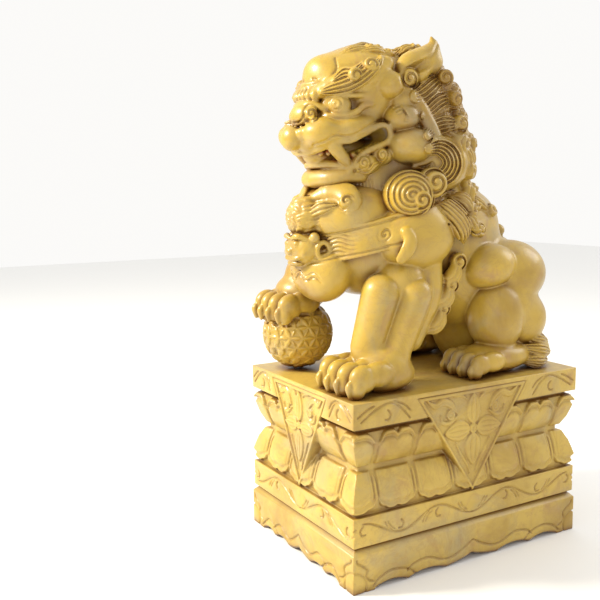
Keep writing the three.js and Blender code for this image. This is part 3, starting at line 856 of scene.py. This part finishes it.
def back_hair(clay):
    """Locks of the mane that lie on the back behind the shoulder."""
    for x, y, z in ((15, 12.6, 52), (12, 18.6, 48.4), (6, 17.4, 55), (17.6, 12.4, 44)):
        out = unit((x, 0.5 * (y - 10), z - 40))
        tip = surface_point(clay, (0, 10, 40), np.array((x, y - 10, z - 40)))
        root = surface_point(clay, (0, 8, 42), np.array((x * 0.9, y - 18, z - 35)))
        bend = (tip + root) / 2 + out * 1.2
        clay.add(lock([root, bend, tip], [1.4, 2.9, 1.4], thick=0.5, hub=(0, 8, 38), strands=5, groove=0.5),
                 blend=0.4)
        clay.add(snail(tip + out * 0.3, out, 2.6, 1.9, turns=1.8, groove=0.6), blend=0.3)


def hind_leg(clay):
    clay.add(ball((15.2, 30.0, 15.4), (9.6, 9.2, 9.6)), blend=1.8)
    clay.add(ball((17.8, 18.6, 17.2), (8.6, 9.2, 11.6), tilt=6), blend=0.6)
    clay.add(ball((17.4, 15.2, 32.8), (8.2, 9.2, 6.8), tilt=10), blend=0.7)
    clay.add(ball((18.6, 18, 4.6), (7.6, 13, 4.9)), blend=1.0)
    for toe in range(4):
        x = 12.6 + toe * 4.2
        tip = 2.9 - 1.2 * math.sin(math.pi * (toe + 0.6) / 4.4)
        clay.add(ball((x, tip + 8.5, 4.6), (2.5, 5, 3.1)), blend=0.4)
        clay.add(ball((x, tip + 4, 4.2), (2.4, 3.6, 3.2)), blend=0.3)
        clay.add(ball((x, tip + 2.1, 2.5), (2.2, 2.1, 2.6)), blend=0.25)
        clay.add(lock([(x, tip + 0.6, 4.2), (x, tip - 0.1, 2.6), (x, tip + 0.2, 0.8)], [0.5, 0.95, 0.6],
                      thick=1.0), blend=0.2)


def hock_tuft(clay):
    """The lock of hair at the heel."""
    clay.add(ball((18.4, 34, 5), (5.4, 6, 4.8)), blend=0.6)
    hub = (12, 26, 8)
    for root, tip in (((20, 28, 10), (20.6, 38, 7.4)), ((22, 27, 6.6), (22.6, 37, 4.4)),
                      ((22.4, 26, 3), (22.4, 36, 1.6))):
        bend = ((root[0] + tip[0]) / 2 + 1.6, (root[1] + tip[1]) / 2, (root[2] + tip[2]) / 2)
        clay.add(lock([root, bend, tip], [1.4, 2.7, 1.3], thick=0.7, hub=hub, strands=5, groove=0.5),
                 blend=0.4)


def tail(clay):
    hub = (0, 20, 24)
    clay.add(bone((0, 33, 10), 5.6, (0, 32.5, 27), 5), blend=1.5)
    for x, low, high in ((0, 18, 44), (4.5, 14, 35), (8.2, 12, 27)):
        path = [(x * 0.4, 37.0, low), (x * 0.9, 38.8 - x * 0.2, (low + high) / 2), (x, 35.6 - x * 0.2, high)]
        clay.add(lock(path, [2.0, 3.4, 0.8], thick=0.6, hub=hub, strands=4, groove=0.55), blend=0.4)
    for centre in ((4.4, 37.4, 17), (3.4, 37.4, 10)):
        clay.add(snail(centre, (0.3, 1, 0), 3.4, 2.4, turns=1.9, groove=0.6), blend=0.3)


def hind_clay():
    clay = Clay((-1.2, -14, -0.6), (30, 42.5, 63))
    trunk(clay)
    tail(clay)
    spine(clay)
    back_hair(clay)
    hind_leg(clay)
    hock_tuft(clay)
    return clay


# Plinth, in millimetres: each face is a map of depths behind the slab's face, t along it and z up

RELIEF_STEP = 3.0
RELIEF_FAR = 9.0
MILLIMETRE = 0.001
CAP_GAP = 0.1
SLAB_TOP = 700
SLAB_LOW = 605
FOOT_OUTSET = 5
BRACKET = 96
OUTER_LOBE = 0.67
INNER_LOBE = 0.28
LOTUS_LOW = 281
WAIST_DEPTH = 41
PETAL_RELIEF = 13
LONG = {"half": 555, "petals": 5, "drape": 263}
SHORT = {"half": 390, "petals": 3, "drape": 200}
DRAPE_TOP = 677
DRAPE_DROP = 395


def incise(face, path, width=7.5, depth=8.5, mirror=True):
    """Cuts a line into a face, thinner towards its ends."""
    for t in (face["t"], -face["t"]) if mirror else (face["t"],):
        near, share, _ = near_line(t, face["z"], path)
        full = width * (0.45 + 0.55 * np.sqrt(np.clip(np.sin(math.pi * share) * 1.6, 0, 1)))
        face["depth"] += depth * np.clip(1 - near / full, 0, 1)**1.3


def comma(face, t, z, size, lean=1):
    """The small hooked stroke that a carver puts in the bend of a vine."""
    incise(face, smooth_line([(t + lean * size * 0.1, z + size), (t + lean * size * 0.75, z + size * 0.2),
                              (t + lean * size * 0.35, z - size * 0.75),
                              (t - lean * size * 0.5, z - size * 0.7)], 12), width=6.6, depth=8.5)


def frond(face, path, widths, strands, height, mirror=True):
    """A raised leaf along a line, grooved into strands."""
    for t in (face["t"], -face["t"]) if mirror else (face["t"],):
        near, share, across = near_line(t, face["z"], path)
        half = np.interp(share, np.linspace(0, 1, len(widths)), widths)
        inside = step_up(half - near, 3.5)
        vein = np.cos(math.pi * strands * (across / (half + 1e-6) + 1)) * 0.5 + 0.5
        lift = height * (1 - 0.45 * (near / (half + 1e-6)).clip(0, 1)**2) - 2.0 * vein**2 * (half > 5)
        face["lift"] = np.maximum(face["lift"], inside * lift)


def spiral_boss(face, t0, z0, radius, height, turns=1.6, hand=1, mirror=True):
    """A raised disc wound with a spiral groove."""
    for t in (face["t"], -face["t"]) if mirror else (face["t"],):
        dt, dz = t - t0, face["z"] - z0
        off = np.hypot(dt, dz)
        phase = off / (radius / turns) - hand * np.arctan2(dz, dt) / (2 * math.pi)
        groove = (0.5 + 0.5 * np.cos(2 * math.pi * phase))**3 * step_up(off - radius * 0.12, 2)
        inside = step_up(radius - off, 3)
        face["lift"] = np.where(off < radius, inside * (height - 2.6 * groove), face["lift"])


def courses(face):
    """The stepped outline of the plinth from the foot to the slab."""
    heights = [0, 143, 167, 168, 171, 172, 280, 281, 586, 587, 603, 605, 700]
    depths = [-4.8, -4.8, 20, 20, 2, 0.1, 0.1, 0.1, 0.1, 0.1, 0.1, 0.1, 0.1]
    face["depth"] = np.interp(face["z"], heights, depths)


def lotus_depth(z):
    return np.interp(z, [290, 332, 389, 432, 454, 493, 544, 583],
                     [6, 3, 20, WAIST_DEPTH, WAIST_DEPTH, 20, 3, 6])


def petal(face, left, right, upper):
    """One lotus petal: pillowed, lipped, with a two-lobed top or a scalloped lower edge."""
    t, z = face["t"], face["z"]
    root, tip = (456, 588) if upper else (430, 287)
    length = abs(tip - root)
    middle, half = (left + right) / 2, (right - left) / 2
    corner = half < 70
    u = (t - middle) / half
    if corner:
        u = (np.abs(t) - abs(left + right) / 2 - half) / (2 * half)
    rise = np.abs(z - root) * np.sign((z - root) * (tip - root))
    shoulder = 44 * np.clip((np.abs(u) - 0.5) / 0.5, 0, 1)**2.4
    if upper:
        edge = length - shoulder - 15 * np.exp(-(u / 0.13)**2)
    else:
        edge = length - shoulder * 0.8 - 9 * np.abs(np.cos(1.5 * math.pi * u))**4 + 3 * np.exp(-(u / 0.16)**2)
    side = half * (1 - 0.05 * (1 - rise / length)) - np.abs(t - middle)
    if corner:
        side = np.abs(t) - (face["half"] - 2 * half) - 3
    tip_off = edge - rise
    inner = np.minimum(side, tip_off)
    inside = step_up(inner - 2, 5) * step_up(rise + 2, 4)
    pillow = (5 if upper else 8) * np.exp(-np.clip(inner, 0, 99) / 11)
    lip = 5.0 * np.exp(-((tip_off - 9) / 6)**2) - (7.0 if upper else 6.0) * np.exp(-((tip_off - 26) / 8)**2)
    rim = 0 if upper else 3.0 * np.exp(-((side - 15) / 3)**2) * step_up(tip_off - 30, 10)
    hollow = 4.0 * np.clip(1 - np.abs(u), 0, 1) * step_up(tip_off - 22, 18) * (1 if upper else -1.2)
    own = lotus_depth(z) + pillow - lip + rim + hollow
    face["depth"] = face["depth"] * (1 - inside) + np.maximum(own, -0.5) * inside


def lotus(face):
    t, z = face["t"], face["z"]
    zone = step_up(z - LOTUS_LOW, 2) * step_up(SLAB_LOW - z, 2)
    core = lotus_depth(z) + PETAL_RELIEF + 12 * step_up(z - 588, 8)
    pitch = 2 * (face["half"] - 110) / face["petals"]
    seams = [-(face["half"] - 110) + pitch * i for i in range(face["petals"] + 1)]
    for seam in seams:
        strip = step_up(5.5 - np.abs(t - seam), 4) * step_up(z - 330, 30) * step_up(412 - z, 16)
        core = core - strip * 7
    face["depth"] = face["depth"] * (1 - zone) + core * zone
    for upper in (True, False):
        for left, right in zip(seams[:-1], seams[1:]):
            petal(face, left + 7, right - 7, upper)
        petal(face, -face["half"], seams[0] - 7, upper)
        petal(face, seams[-1] + 7, face["half"], upper)


def slab_lines(face):
    """The wave, its echo and its comma, cut at each end of the slab."""
    end, drape = face["half"], face["drape"]
    span = end - drape
    wave = smooth_line([(end - 0.11 * span, 630), (end - 0.33 * span, 668), (end - 0.55 * span, 686),
                        (end - 0.72 * span, 660), (end - 0.85 * span, 618)])
    echo = smooth_line([(end - 0.06 * span, 648), (end - 0.2 * span, 672), (end - 0.31 * span, 684)], 12)
    tail = smooth_line([(end - 0.60 * span, 690), (end - 0.76 * span, 672), (end - 0.86 * span, 646)], 12)
    incise(face, wave)
    incise(face, echo, width=6.2)
    incise(face, tail, width=6.2)
    comma(face, end - 0.50 * span, 641, 21, -1)


def band_vine(face):
    """A running vine along the lower band, with leaf strokes and commas in its bends."""
    end = face["half"]
    waves = 3 if end > 450 else 2
    pitch = (end - 40) / waves
    path = [(pitch * i / 6, 226 - 31 * math.cos(math.pi * i / 6)) for i in range(waves * 6 + 1)]
    incise(face, smooth_line(path, 60))
    for i in range(waves + 1):
        crest = 1 if i % 2 else -1
        spot = pitch * i
        if 0 < i:
            comma(face, spot - 4 * crest, 226 + crest * 3, 19, crest)
        for shift in (26, 40):
            a = spot + shift
            incise(face, smooth_line([(a, 226 + crest * 18), (a + 20, 226 + crest * 2),
                                      (a + 34, 226 - crest * 20)], 8), width=5.8, depth=7.0)


def apron_ends(face):
    """Where the inner lobe, the outer lobe and the opening itself end, from the face's middle."""
    reach = face["half"] + FOOT_OUTSET - BRACKET
    return reach * INNER_LOBE, reach * OUTER_LOBE, reach


def apron_open(face):
    """Height of the opening under the apron along the face."""
    inner, outer, reach = apron_ends(face)
    t = np.abs(face["t"])
    s = np.linspace(0, 1, 20)
    cusp_run = inner * (1 - s)**2 + 0.6 * inner * s * (1 - s)
    cusp_height = 18 * s * (1 - s) + 30 * s * s
    cusp = np.interp(t, cusp_run[::-1], cusp_height[::-1])

    def arch(a, b):
        return np.where((t > a) & (t < b), 68 * (t - a) * (b - t) / (b - a)**2, 0)

    return np.where(t < inner, cusp, 0) + arch(inner, outer) + arch(outer, reach)


def apron(face):
    z = face["z"]
    above = z - apron_open(face)
    reach = apron_ends(face)[2]
    free = step_up(reach - np.abs(face["t"]), 2)
    face["depth"] += 9 * np.clip(1 - above / 13, 0, 1)**2 * free * (above > 0)
    face["depth"] = np.where((above < 0) & (np.abs(face["t"]) < reach), 55, face["depth"])


def apron_lines(face):
    end = face["half"]
    inner, outer, reach = apron_ends(face)
    incise(face, smooth_line([(outer - 34, 14), (outer + 6, 44), ((outer + reach) / 2, 57), (reach - 20, 40),
                              (reach + 8, 14)]))
    incise(face, smooth_line([(0, 84), (inner * 0.3, 62), (inner * 0.75, 38), (inner * 1.15, 38),
                              ((inner + outer) / 2, 64), (outer - 22, 56), (outer + 8, 34)]))
    incise(face, smooth_line([(end - 10, 132), (end - 16, 116), (end - 40, 100), (end - 58, 82),
                              (end - 52, 60), (end - 66, 42), (end - 88, 34)]))
    t, z = np.abs(face["t"]), face["z"]
    dome = np.hypot((t - end - 5) / 56, (z - 26) / 52)
    line = 5.5 * np.exp(-((dome - 1.06) / 0.07)**2)
    swell = 2.5 * np.clip(dome - 0.62, 0, 0.4) * (dome < 1.02)
    face["depth"] += line + swell


def leaf(face, start, end, half, veins, mirror=False):
    """A pointed petal of the flower, with veins that run from its root."""
    path = smooth_line([start, end], 6)
    for t in (face["t"], -face["t"]) if mirror else (face["t"],):
        near, share, across = near_line(t, face["z"], path)
        width = half * np.sin(math.pi * np.clip(share, 0, 1)**0.8)**0.75 + 0.5
        inside = step_up(width - near, 3)
        vein = (0.5 + 0.5 * np.cos(math.pi * veins * (across / width + 1)))**6
        lift = (5.2 - 1.8 * (near / width).clip(0, 1)**2
                - 2.4 * vein * step_up(share - 0.12, 0.1) * step_up(0.9 - share, 0.1))
        face["lift"] = np.maximum(face["lift"], inside * lift)


def drape_ornament(face):
    """The flower, scroll leaves and dotted ground of the cloth."""
    scale = face["drape"] / 263
    face["lift"] = np.zeros(face["t"].shape)
    leaf(face, (0, 548), (0, 668), 36 * scale, 3)
    leaf(face, (0, 512), (0, 384), 40 * scale, 3)
    leaf(face, (16 * scale, 530), (140 * scale, 526), 41 * scale, 4, mirror=True)
    frond(face, smooth_line([(228 * scale, 668), (186 * scale, 640), (150 * scale, 652), (112 * scale, 636),
                             (84 * scale, 604)]), [2, 14 * scale, 17 * scale, 16 * scale, 6], 2, 5)
    frond(face, smooth_line([(160 * scale, 600), (150 * scale, 572), (118 * scale, 566), (80 * scale, 588)]),
          [2, 9 * scale, 11 * scale, 5], 1, 4.5)
    frond(face, smooth_line([(34 * scale, 648), (56 * scale, 662), (96 * scale, 664)]), [3, 8, 3], 1, 4)
    frond(face, smooth_line([(14, 352), (30 * scale, 392), (62 * scale, 440), (84 * scale, 478)]),
          [2, 7 * scale, 9 * scale, 3], 1, 4)
    spiral_boss(face, 112 * scale, 598, 21 * scale, 5.4)
    spiral_boss(face, 0, 530, 20 * scale, 6, mirror=False)


def drape(face):
    t, z = face["t"], face["z"]
    half = face["drape"]
    slope = DRAPE_DROP / math.hypot(DRAPE_DROP, half)
    inside = np.minimum(DRAPE_TOP - z, (half * (1 - (DRAPE_TOP - z) / DRAPE_DROP) - np.abs(t)) * slope)
    drape_ornament(face)
    dots = ((0.5 + 0.5 * np.cos((t + 5 * np.sin(z / 7)) / 1.9))
            * (0.5 + 0.5 * np.cos((z + 4 * np.sin(t / 9)) / 1.9)))
    ground = step_up(inside - 10, 3)
    sunk = ground * (9.0 + 2.4 * dots * (face["lift"] < 0.5) - 1.55 * face["lift"])
    rim = 1.8 * np.exp(-((inside - 5) / 1.5)**2)
    line = 6.5 * np.exp(-((inside + 4) / 2.6)**2) * step_up(z - SLAB_LOW, 3)
    over = step_up(inside, 2.5)
    face["depth"] = (face["depth"] + line) * (1 - over) + np.maximum(sunk + rim, 0) * over


def plinth_face(sizes, t_axis, z_axis):
    face = dict(sizes)
    face["t"], face["z"] = np.meshgrid(t_axis, z_axis, indexing="ij")
    courses(face)
    lotus(face)
    slab_lines(face)
    band_vine(face)
    apron_lines(face)
    drape(face)
    apron(face)
    return face["depth"]


def grid_line(low, high, margin):
    """Places at even steps that reach a few steps past both ends."""
    return np.arange(round(low / RELIEF_STEP) - margin, round(high / RELIEF_STEP) + margin + 1) * RELIEF_STEP


def build_plinth(material):
    x = grid_line(-SHORT["half"], SHORT["half"], 3)
    y = grid_line(-LONG["half"], LONG["half"], 3)
    z = grid_line(0, SLAB_TOP + RELIEF_STEP, 1)
    long_depth = plinth_face(LONG, y, z)
    short_depth = plinth_face(SHORT, x, z)
    sides = np.abs(x)[:, None, None] - (SHORT["half"] - long_depth)[None, :, :]
    ends = np.abs(y)[None, :, None] - (LONG["half"] - short_depth)[:, None, :]
    caps = np.maximum(z - SLAB_TOP, CAP_GAP - z)[None, None, :]
    field = np.maximum(np.maximum(sides, ends), caps)
    field = np.clip(field, -RELIEF_FAR, RELIEF_FAR).astype(np.float32)
    low = np.array((x[0], y[0], z[0]))
    plinth = cast("plinth_carved", field, low, RELIEF_STEP, MILLIMETRE, 0.0, RELIEF_FAR, PLINTH_FACES,
                  material)
    place_piece(plinth, "plinth")


# From clay to meshes

def ground(clay):
    """Flattens what stands on the plinth."""
    cut, (_, _, z) = clay.window((-99, -99, -9), (99, 99, 3))
    clay.field[cut] = np.maximum(clay.field[cut], -z)


def mirrored(clay):
    """The whole clay of a form that was made as its left half."""
    first = int(np.argmin(np.abs(clay.axes[0])))
    half = clay.field[first:]
    whole = np.concatenate([half[:0:-1], half])
    start = -(len(half) - 1) * clay.step + float(clay.axes[0][first])
    return whole, np.array((start, clay.low[1], clay.low[2]))


def cast(name, field, low, step, scale, lift, far, faces, material):
    """Makes a field's surface into a mesh in metres and thins it to its budget of triangles.

    The corner order of each face is turned round, which leaves the faces pointing inwards.
    """
    grid = openvdb.FloatGrid(far)
    grid.copyFromArray(np.ascontiguousarray(field))
    points, triangles, quads = grid.convertToPolygons(isovalue=0.0, adaptivity=0.0)
    places = (np.asarray(low) + points * step) * scale
    places[:, 2] += lift
    mesh = bpy.data.meshes.new(name)
    mesh.from_pydata(places.tolist(), [], triangles[:, ::-1].tolist() + quads[:, ::-1].tolist())
    obj = bpy.data.objects.new(name, mesh)
    bpy.context.scene.collection.objects.link(obj)
    return finish_mesh(obj, faces, material)


def drop_crumbs(mesh):
    """Leaves only the mesh's largest island, without specks outside it or hollows inside it."""
    ends = np.empty(len(mesh.edges) * 2, dtype=np.int32)
    mesh.edges.foreach_get("vertices", ends)
    ends = ends.reshape(-1, 2)
    label = np.arange(len(mesh.vertices))
    settled = False
    while not settled:
        lower = label.copy()
        np.minimum.at(lower, ends[:, 0], label[ends[:, 1]])
        np.minimum.at(lower, ends[:, 1], label[ends[:, 0]])
        lower = lower[lower]
        settled = bool((lower == label).all())
        label = lower
    keep = label == np.bincount(label).argmax()
    shape = bmesh.new()
    shape.from_mesh(mesh)
    crumbs = [vertex for vertex, kept in zip(shape.verts, keep) if not kept]
    bmesh.ops.delete(shape, geom=crumbs, context="VERTS")
    shape.to_mesh(mesh)
    shape.free()


def finish_mesh(obj, faces, material):
    mesh = obj.data
    mesh.calc_loop_triangles()
    count = len(mesh.loop_triangles)
    if count > faces:
        thin = obj.modifiers.new("thin", "DECIMATE")
        thin.ratio = faces / count
        baked = bpy.data.meshes.new_from_object(obj.evaluated_get(bpy.context.evaluated_depsgraph_get()))
        obj.modifiers.clear()
        obj.data = baked
        bpy.data.meshes.remove(mesh)
    drop_crumbs(obj.data)
    obj.data.polygons.foreach_set("use_smooth", np.ones(len(obj.data.polygons), dtype=bool))
    obj.data.materials.clear()
    obj.data.materials.append(material)
    return obj


# Materials

# Where the red-brown painted shade inside the mouth lies, in metres, and over what distance it fades out
MOUTH = (0, -0.40, 1.59)
MOUTH_SHAPE = (0.5, 1.0, 1.6)
MOUTH_NEAR = 0.09
MOUTH_FAR = 0.12
# How far the ambient occlusion that places the painted shade in hollows looks
PAINTED_SHADE_REACH = 0.04
BLACK = (0, 0, 0)
WHITE = (1, 1, 1)


class Paint:
    """A marble's node tree, with the few kinds of node that its layers are made of."""

    def __init__(self, name):
        self.material = bpy.data.materials.new(name)
        self.material.use_nodes = True
        self.nodes = self.material.node_tree.nodes
        self.links = self.material.node_tree.links
        self.shader = self.nodes["Principled BSDF"]
        self.place = self.nodes.new("ShaderNodeTexCoord").outputs["Object"]

    def noise(self, scale, detail, rough=0.55, warp=0.0):
        node = self.nodes.new("ShaderNodeTexNoise")
        node.inputs["Scale"].default_value = scale
        node.inputs["Detail"].default_value = detail
        node.inputs["Roughness"].default_value = rough
        node.inputs["Distortion"].default_value = warp
        self.links.new(self.place, node.inputs["Vector"])
        return node.outputs["Fac"]

    def ramp(self, value, stops):
        node = self.nodes.new("ShaderNodeValToRGB")
        while len(node.color_ramp.elements) < len(stops):
            node.color_ramp.elements.new(0.5)
        for element, (at, colour) in zip(node.color_ramp.elements, stops):
            element.position = at
            element.color = (*colour, 1)
        self.links.new(value, node.inputs["Fac"])
        return node.outputs["Color"]

    def fade(self, value, first, last, strength):
        """A grey ramp from nothing to the given strength."""
        return self.ramp(value, [(first, BLACK), (last, (strength,) * 3)])

    def cover(self, share, colour, tint):
        """Lays a tint over a colour where the share is high."""
        node = self.nodes.new("ShaderNodeMix")
        node.data_type = "RGBA"
        a, b = [i for i in node.inputs if i.type == "RGBA"]
        self.links.new(share, node.inputs["Factor"])
        self.links.new(colour, a)
        b.default_value = (*tint, 1)
        return [o for o in node.outputs if o.type == "RGBA"][0]

    def vector_step(self, operation, vector, value):
        node = self.nodes.new("ShaderNodeVectorMath")
        node.operation = operation
        self.links.new(vector, node.inputs[0])
        node.inputs[1].default_value = value
        return node

    def span(self, value, **limits):
        """A value read from one range into another."""
        node = self.nodes.new("ShaderNodeMapRange")
        for name, limit in limits.items():
            node.inputs[name.replace("_", " ").title()].default_value = limit
        self.links.new(value, node.inputs["Value"])
        return node.outputs["Result"]

    def bump(self, height, strength, distance, under=None):
        node = self.nodes.new("ShaderNodeBump")
        node.inputs["Strength"].default_value = strength
        node.inputs["Distance"].default_value = distance
        self.links.new(height, node.inputs["Height"])
        if under:
            self.links.new(under, node.inputs["Normal"])
        return node.outputs["Normal"]


def clouds(paint, light, deep):
    """The stone's own colour: clouded, with grey and pink patches and faint veins."""
    pale = tuple(min(1, c * 1.14) for c in light)
    colour = paint.ramp(paint.noise(2.6, 5, 0.6, 0.4), [(0.34, deep), (0.5, light), (0.66, pale)])
    grey = paint.fade(paint.noise(3.4, 6, 0.65, 0.6), 0.49, 0.72, 0.75)
    colour = paint.cover(grey, colour, (0.31, 0.25, 0.135))
    pink = paint.fade(paint.noise(8.0, 6, 0.62, 0.8), 0.56, 0.74, 0.8)
    colour = paint.cover(pink, colour, (0.36, 0.205, 0.065))
    vein = paint.ramp(paint.noise(5.0, 8, 0.7, 1.6),
                      [(0.475, BLACK), (0.5, (0.3, 0.3, 0.3)), (0.525, BLACK)])
    return paint.cover(vein, colour, (0.30, 0.175, 0.045))


def painted_hollow_shade(paint, colour):
    """Paints shade into the hollows where ambient occlusion finds them enclosed, and a red-brown painted
    shade into the deepest ones inside the mouth.
    """
    hollow = paint.nodes.new("ShaderNodeAmbientOcclusion")
    hollow.inputs["Distance"].default_value = PAINTED_SHADE_REACH
    hollow.samples = 8
    # Painted shade: colour darkened where ambient occlusion is strong
    shaded = paint.ramp(hollow.outputs["AO"], [(0.36, WHITE), (0.90, BLACK)])
    colour = paint.cover(shaded, colour, (0.155, 0.062, 0.007))
    # Painted shade inside the mouth: red-brown where occlusion is deepest near the mouth
    squashed = paint.vector_step("MULTIPLY", paint.place, MOUTH_SHAPE)
    centre = [a * b for a, b in zip(MOUTH, MOUTH_SHAPE)]
    off = paint.vector_step("DISTANCE", squashed.outputs["Vector"], centre)
    near_mouth = paint.span(off.outputs["Value"], from_min=MOUTH_NEAR, from_max=MOUTH_FAR,
                             to_min=1.0, to_max=0.0)
    mouth_shade_ramp = paint.ramp(hollow.outputs["AO"], [(0.30, WHITE), (0.84, BLACK)])
    mouth_shade = paint.nodes.new("ShaderNodeMath")
    mouth_shade.operation = "MULTIPLY"
    paint.links.new(mouth_shade_ramp, mouth_shade.inputs[0])
    paint.links.new(near_mouth, mouth_shade.inputs[1])
    return paint.cover(mouth_shade.outputs["Value"], colour, (0.25, 0.062, 0.012))


def pointed(paint, colour):
    """Lightens the places that Pointiness marks, which depend on the way the faces point."""
    shape = paint.nodes.new("ShaderNodeNewGeometry")
    return paint.cover(paint.fade(shape.outputs["Pointiness"], 0.52, 0.62, 0.5), colour, (0.66, 0.46, 0.15))


def polish(paint, shine):
    """Uneven roughness, fine and broad bumps, and a thin coat over slightly clear stone."""
    shader = paint.shader
    rough = paint.span(paint.noise(9.0, 6, 0.6), to_min=shine, to_max=shine + 0.22)
    paint.links.new(rough, shader.inputs["Roughness"])
    fine = paint.bump(paint.noise(60.0, 6, 0.65), 0.22, 0.002)
    broad = paint.bump(paint.noise(11.0, 4, 0.5), 0.25, 0.006, under=fine)
    paint.links.new(broad, shader.inputs["Normal"])
    shader.inputs["Subsurface Weight"].default_value = 0.12
    shader.inputs["Subsurface Radius"].default_value = (0.02, 0.012, 0.005)
    shader.inputs["Subsurface Scale"].default_value = 0.6
    shader.inputs["Coat Weight"].default_value = 0.18
    shader.inputs["Coat Roughness"].default_value = 0.12


def marble(name, light, deep, shine):
    """Yellow marble, from its own colour and the shade painted into its hollows out to its polish."""
    paint = Paint(name)
    colour = clouds(paint, light, deep)
    colour = painted_hollow_shade(paint, colour)
    colour = pointed(paint, colour)
    paint.links.new(colour, paint.shader.inputs["Base Color"])
    polish(paint, shine)
    return paint.material


def floor_material():
    material = bpy.data.materials.new("floor")
    material.use_nodes = True
    shader = material.node_tree.nodes["Principled BSDF"]
    shader.inputs["Base Color"].default_value = (0.86, 0.86, 0.85, 1)
    shader.inputs["Roughness"].default_value = 0.7
    return material


# Stage

CAMERA_PLACE = (2.6586, -2.0675, 1.4407)
CAMERA_AZIMUTH = 60.101
CAMERA_ELEVATION = 7.754
CAMERA_ROLL = 0.667
CAMERA_LENS = 48.45


def camera():
    data = bpy.data.cameras.new("camera")
    data.lens = CAMERA_LENS
    data.sensor_width = 36
    obj = bpy.data.objects.new("camera", data)
    azimuth, elevation = math.radians(CAMERA_AZIMUTH), math.radians(CAMERA_ELEVATION)
    back = Vector((math.sin(azimuth) * math.cos(elevation), -math.cos(azimuth) * math.cos(elevation),
                   math.sin(elevation)))
    right = Vector((math.cos(azimuth), math.sin(azimuth), 0))
    up = back.cross(right)
    turn = Matrix((right, up, back)).transposed().to_4x4()
    obj.matrix_world = Matrix.Translation(CAMERA_PLACE) @ turn @ Matrix.Rotation(math.radians(-CAMERA_ROLL),
                                                                                 4, "Z")
    bpy.context.scene.collection.objects.link(obj)
    bpy.context.scene.camera = obj


def area_light(name, place, target, size, watts, colour):
    data = bpy.data.lights.new(name, "AREA")
    data.size = size
    data.energy = watts
    data.color = colour
    obj = bpy.data.objects.new(name, data)
    obj.location = place
    obj.rotation_euler = (Vector(target) - Vector(place)).to_track_quat("-Z", "Y").to_euler()
    bpy.context.scene.collection.objects.link(obj)


def lights():
    area_light("key", (-2.4, -5.2, 4.6), (0, 0, 1.0), 1.4, 740, (1.0, 0.94, 0.80))
    area_light("fill", (5.0, -2.5, 2.4), (0, 0, 1.0), 3.5, 30, (1.0, 0.96, 0.9))
    area_light("rear", (1.0, 5.0, 4.2), (0, 0, 1.0), 3.0, 110, (1.0, 0.98, 0.95))
    world = bpy.data.worlds.new("studio")
    world.use_nodes = True
    world.node_tree.nodes["Background"].inputs["Color"].default_value = (1.0, 0.99, 0.97, 1)
    world.node_tree.nodes["Background"].inputs["Strength"].default_value = 0.97
    bpy.context.scene.world = world
    bpy.context.scene.view_settings.view_transform = "Standard"


def floor():
    mesh = bpy.data.meshes.new("floor")
    reach = 14
    mesh.from_pydata([(-reach, -reach, 0), (reach, -reach, 0), (reach, reach, 0), (-reach, reach, 0)], [],
                     [(0, 1, 2, 3)])
    obj = bpy.data.objects.new("floor", mesh)
    obj.data.materials.append(floor_material())
    bpy.context.scene.collection.objects.link(obj)


def place_piece(obj, node):
    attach(obj, "root")
    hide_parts(node)


def build_lion():
    polished = marble("lion_marble", (0.44, 0.285, 0.036), (0.29, 0.165, 0.016), 0.27)
    for name, clay, whole, faces in (("lion_head", head_clay(), False, HEAD_FACES),
                                     ("lion_forequarters", fore_clay(), True, FORE_FACES),
                                     ("lion_hindquarters", hind_clay(), False, HIND_FACES)):
        ground(clay)
        field, low = (clay.field, clay.low) if whole else mirrored(clay)
        piece = cast(name, field, low, clay.step, UNIT, PLINTH_HEIGHT + SEAT_GAP, FIELD_FAR, faces, polished)
        place_piece(piece, "lion")


camera()
lights()
floor()
build_plinth(marble("plinth_marble", (0.48, 0.325, 0.060), (0.35, 0.215, 0.030), 0.34))
build_lion()
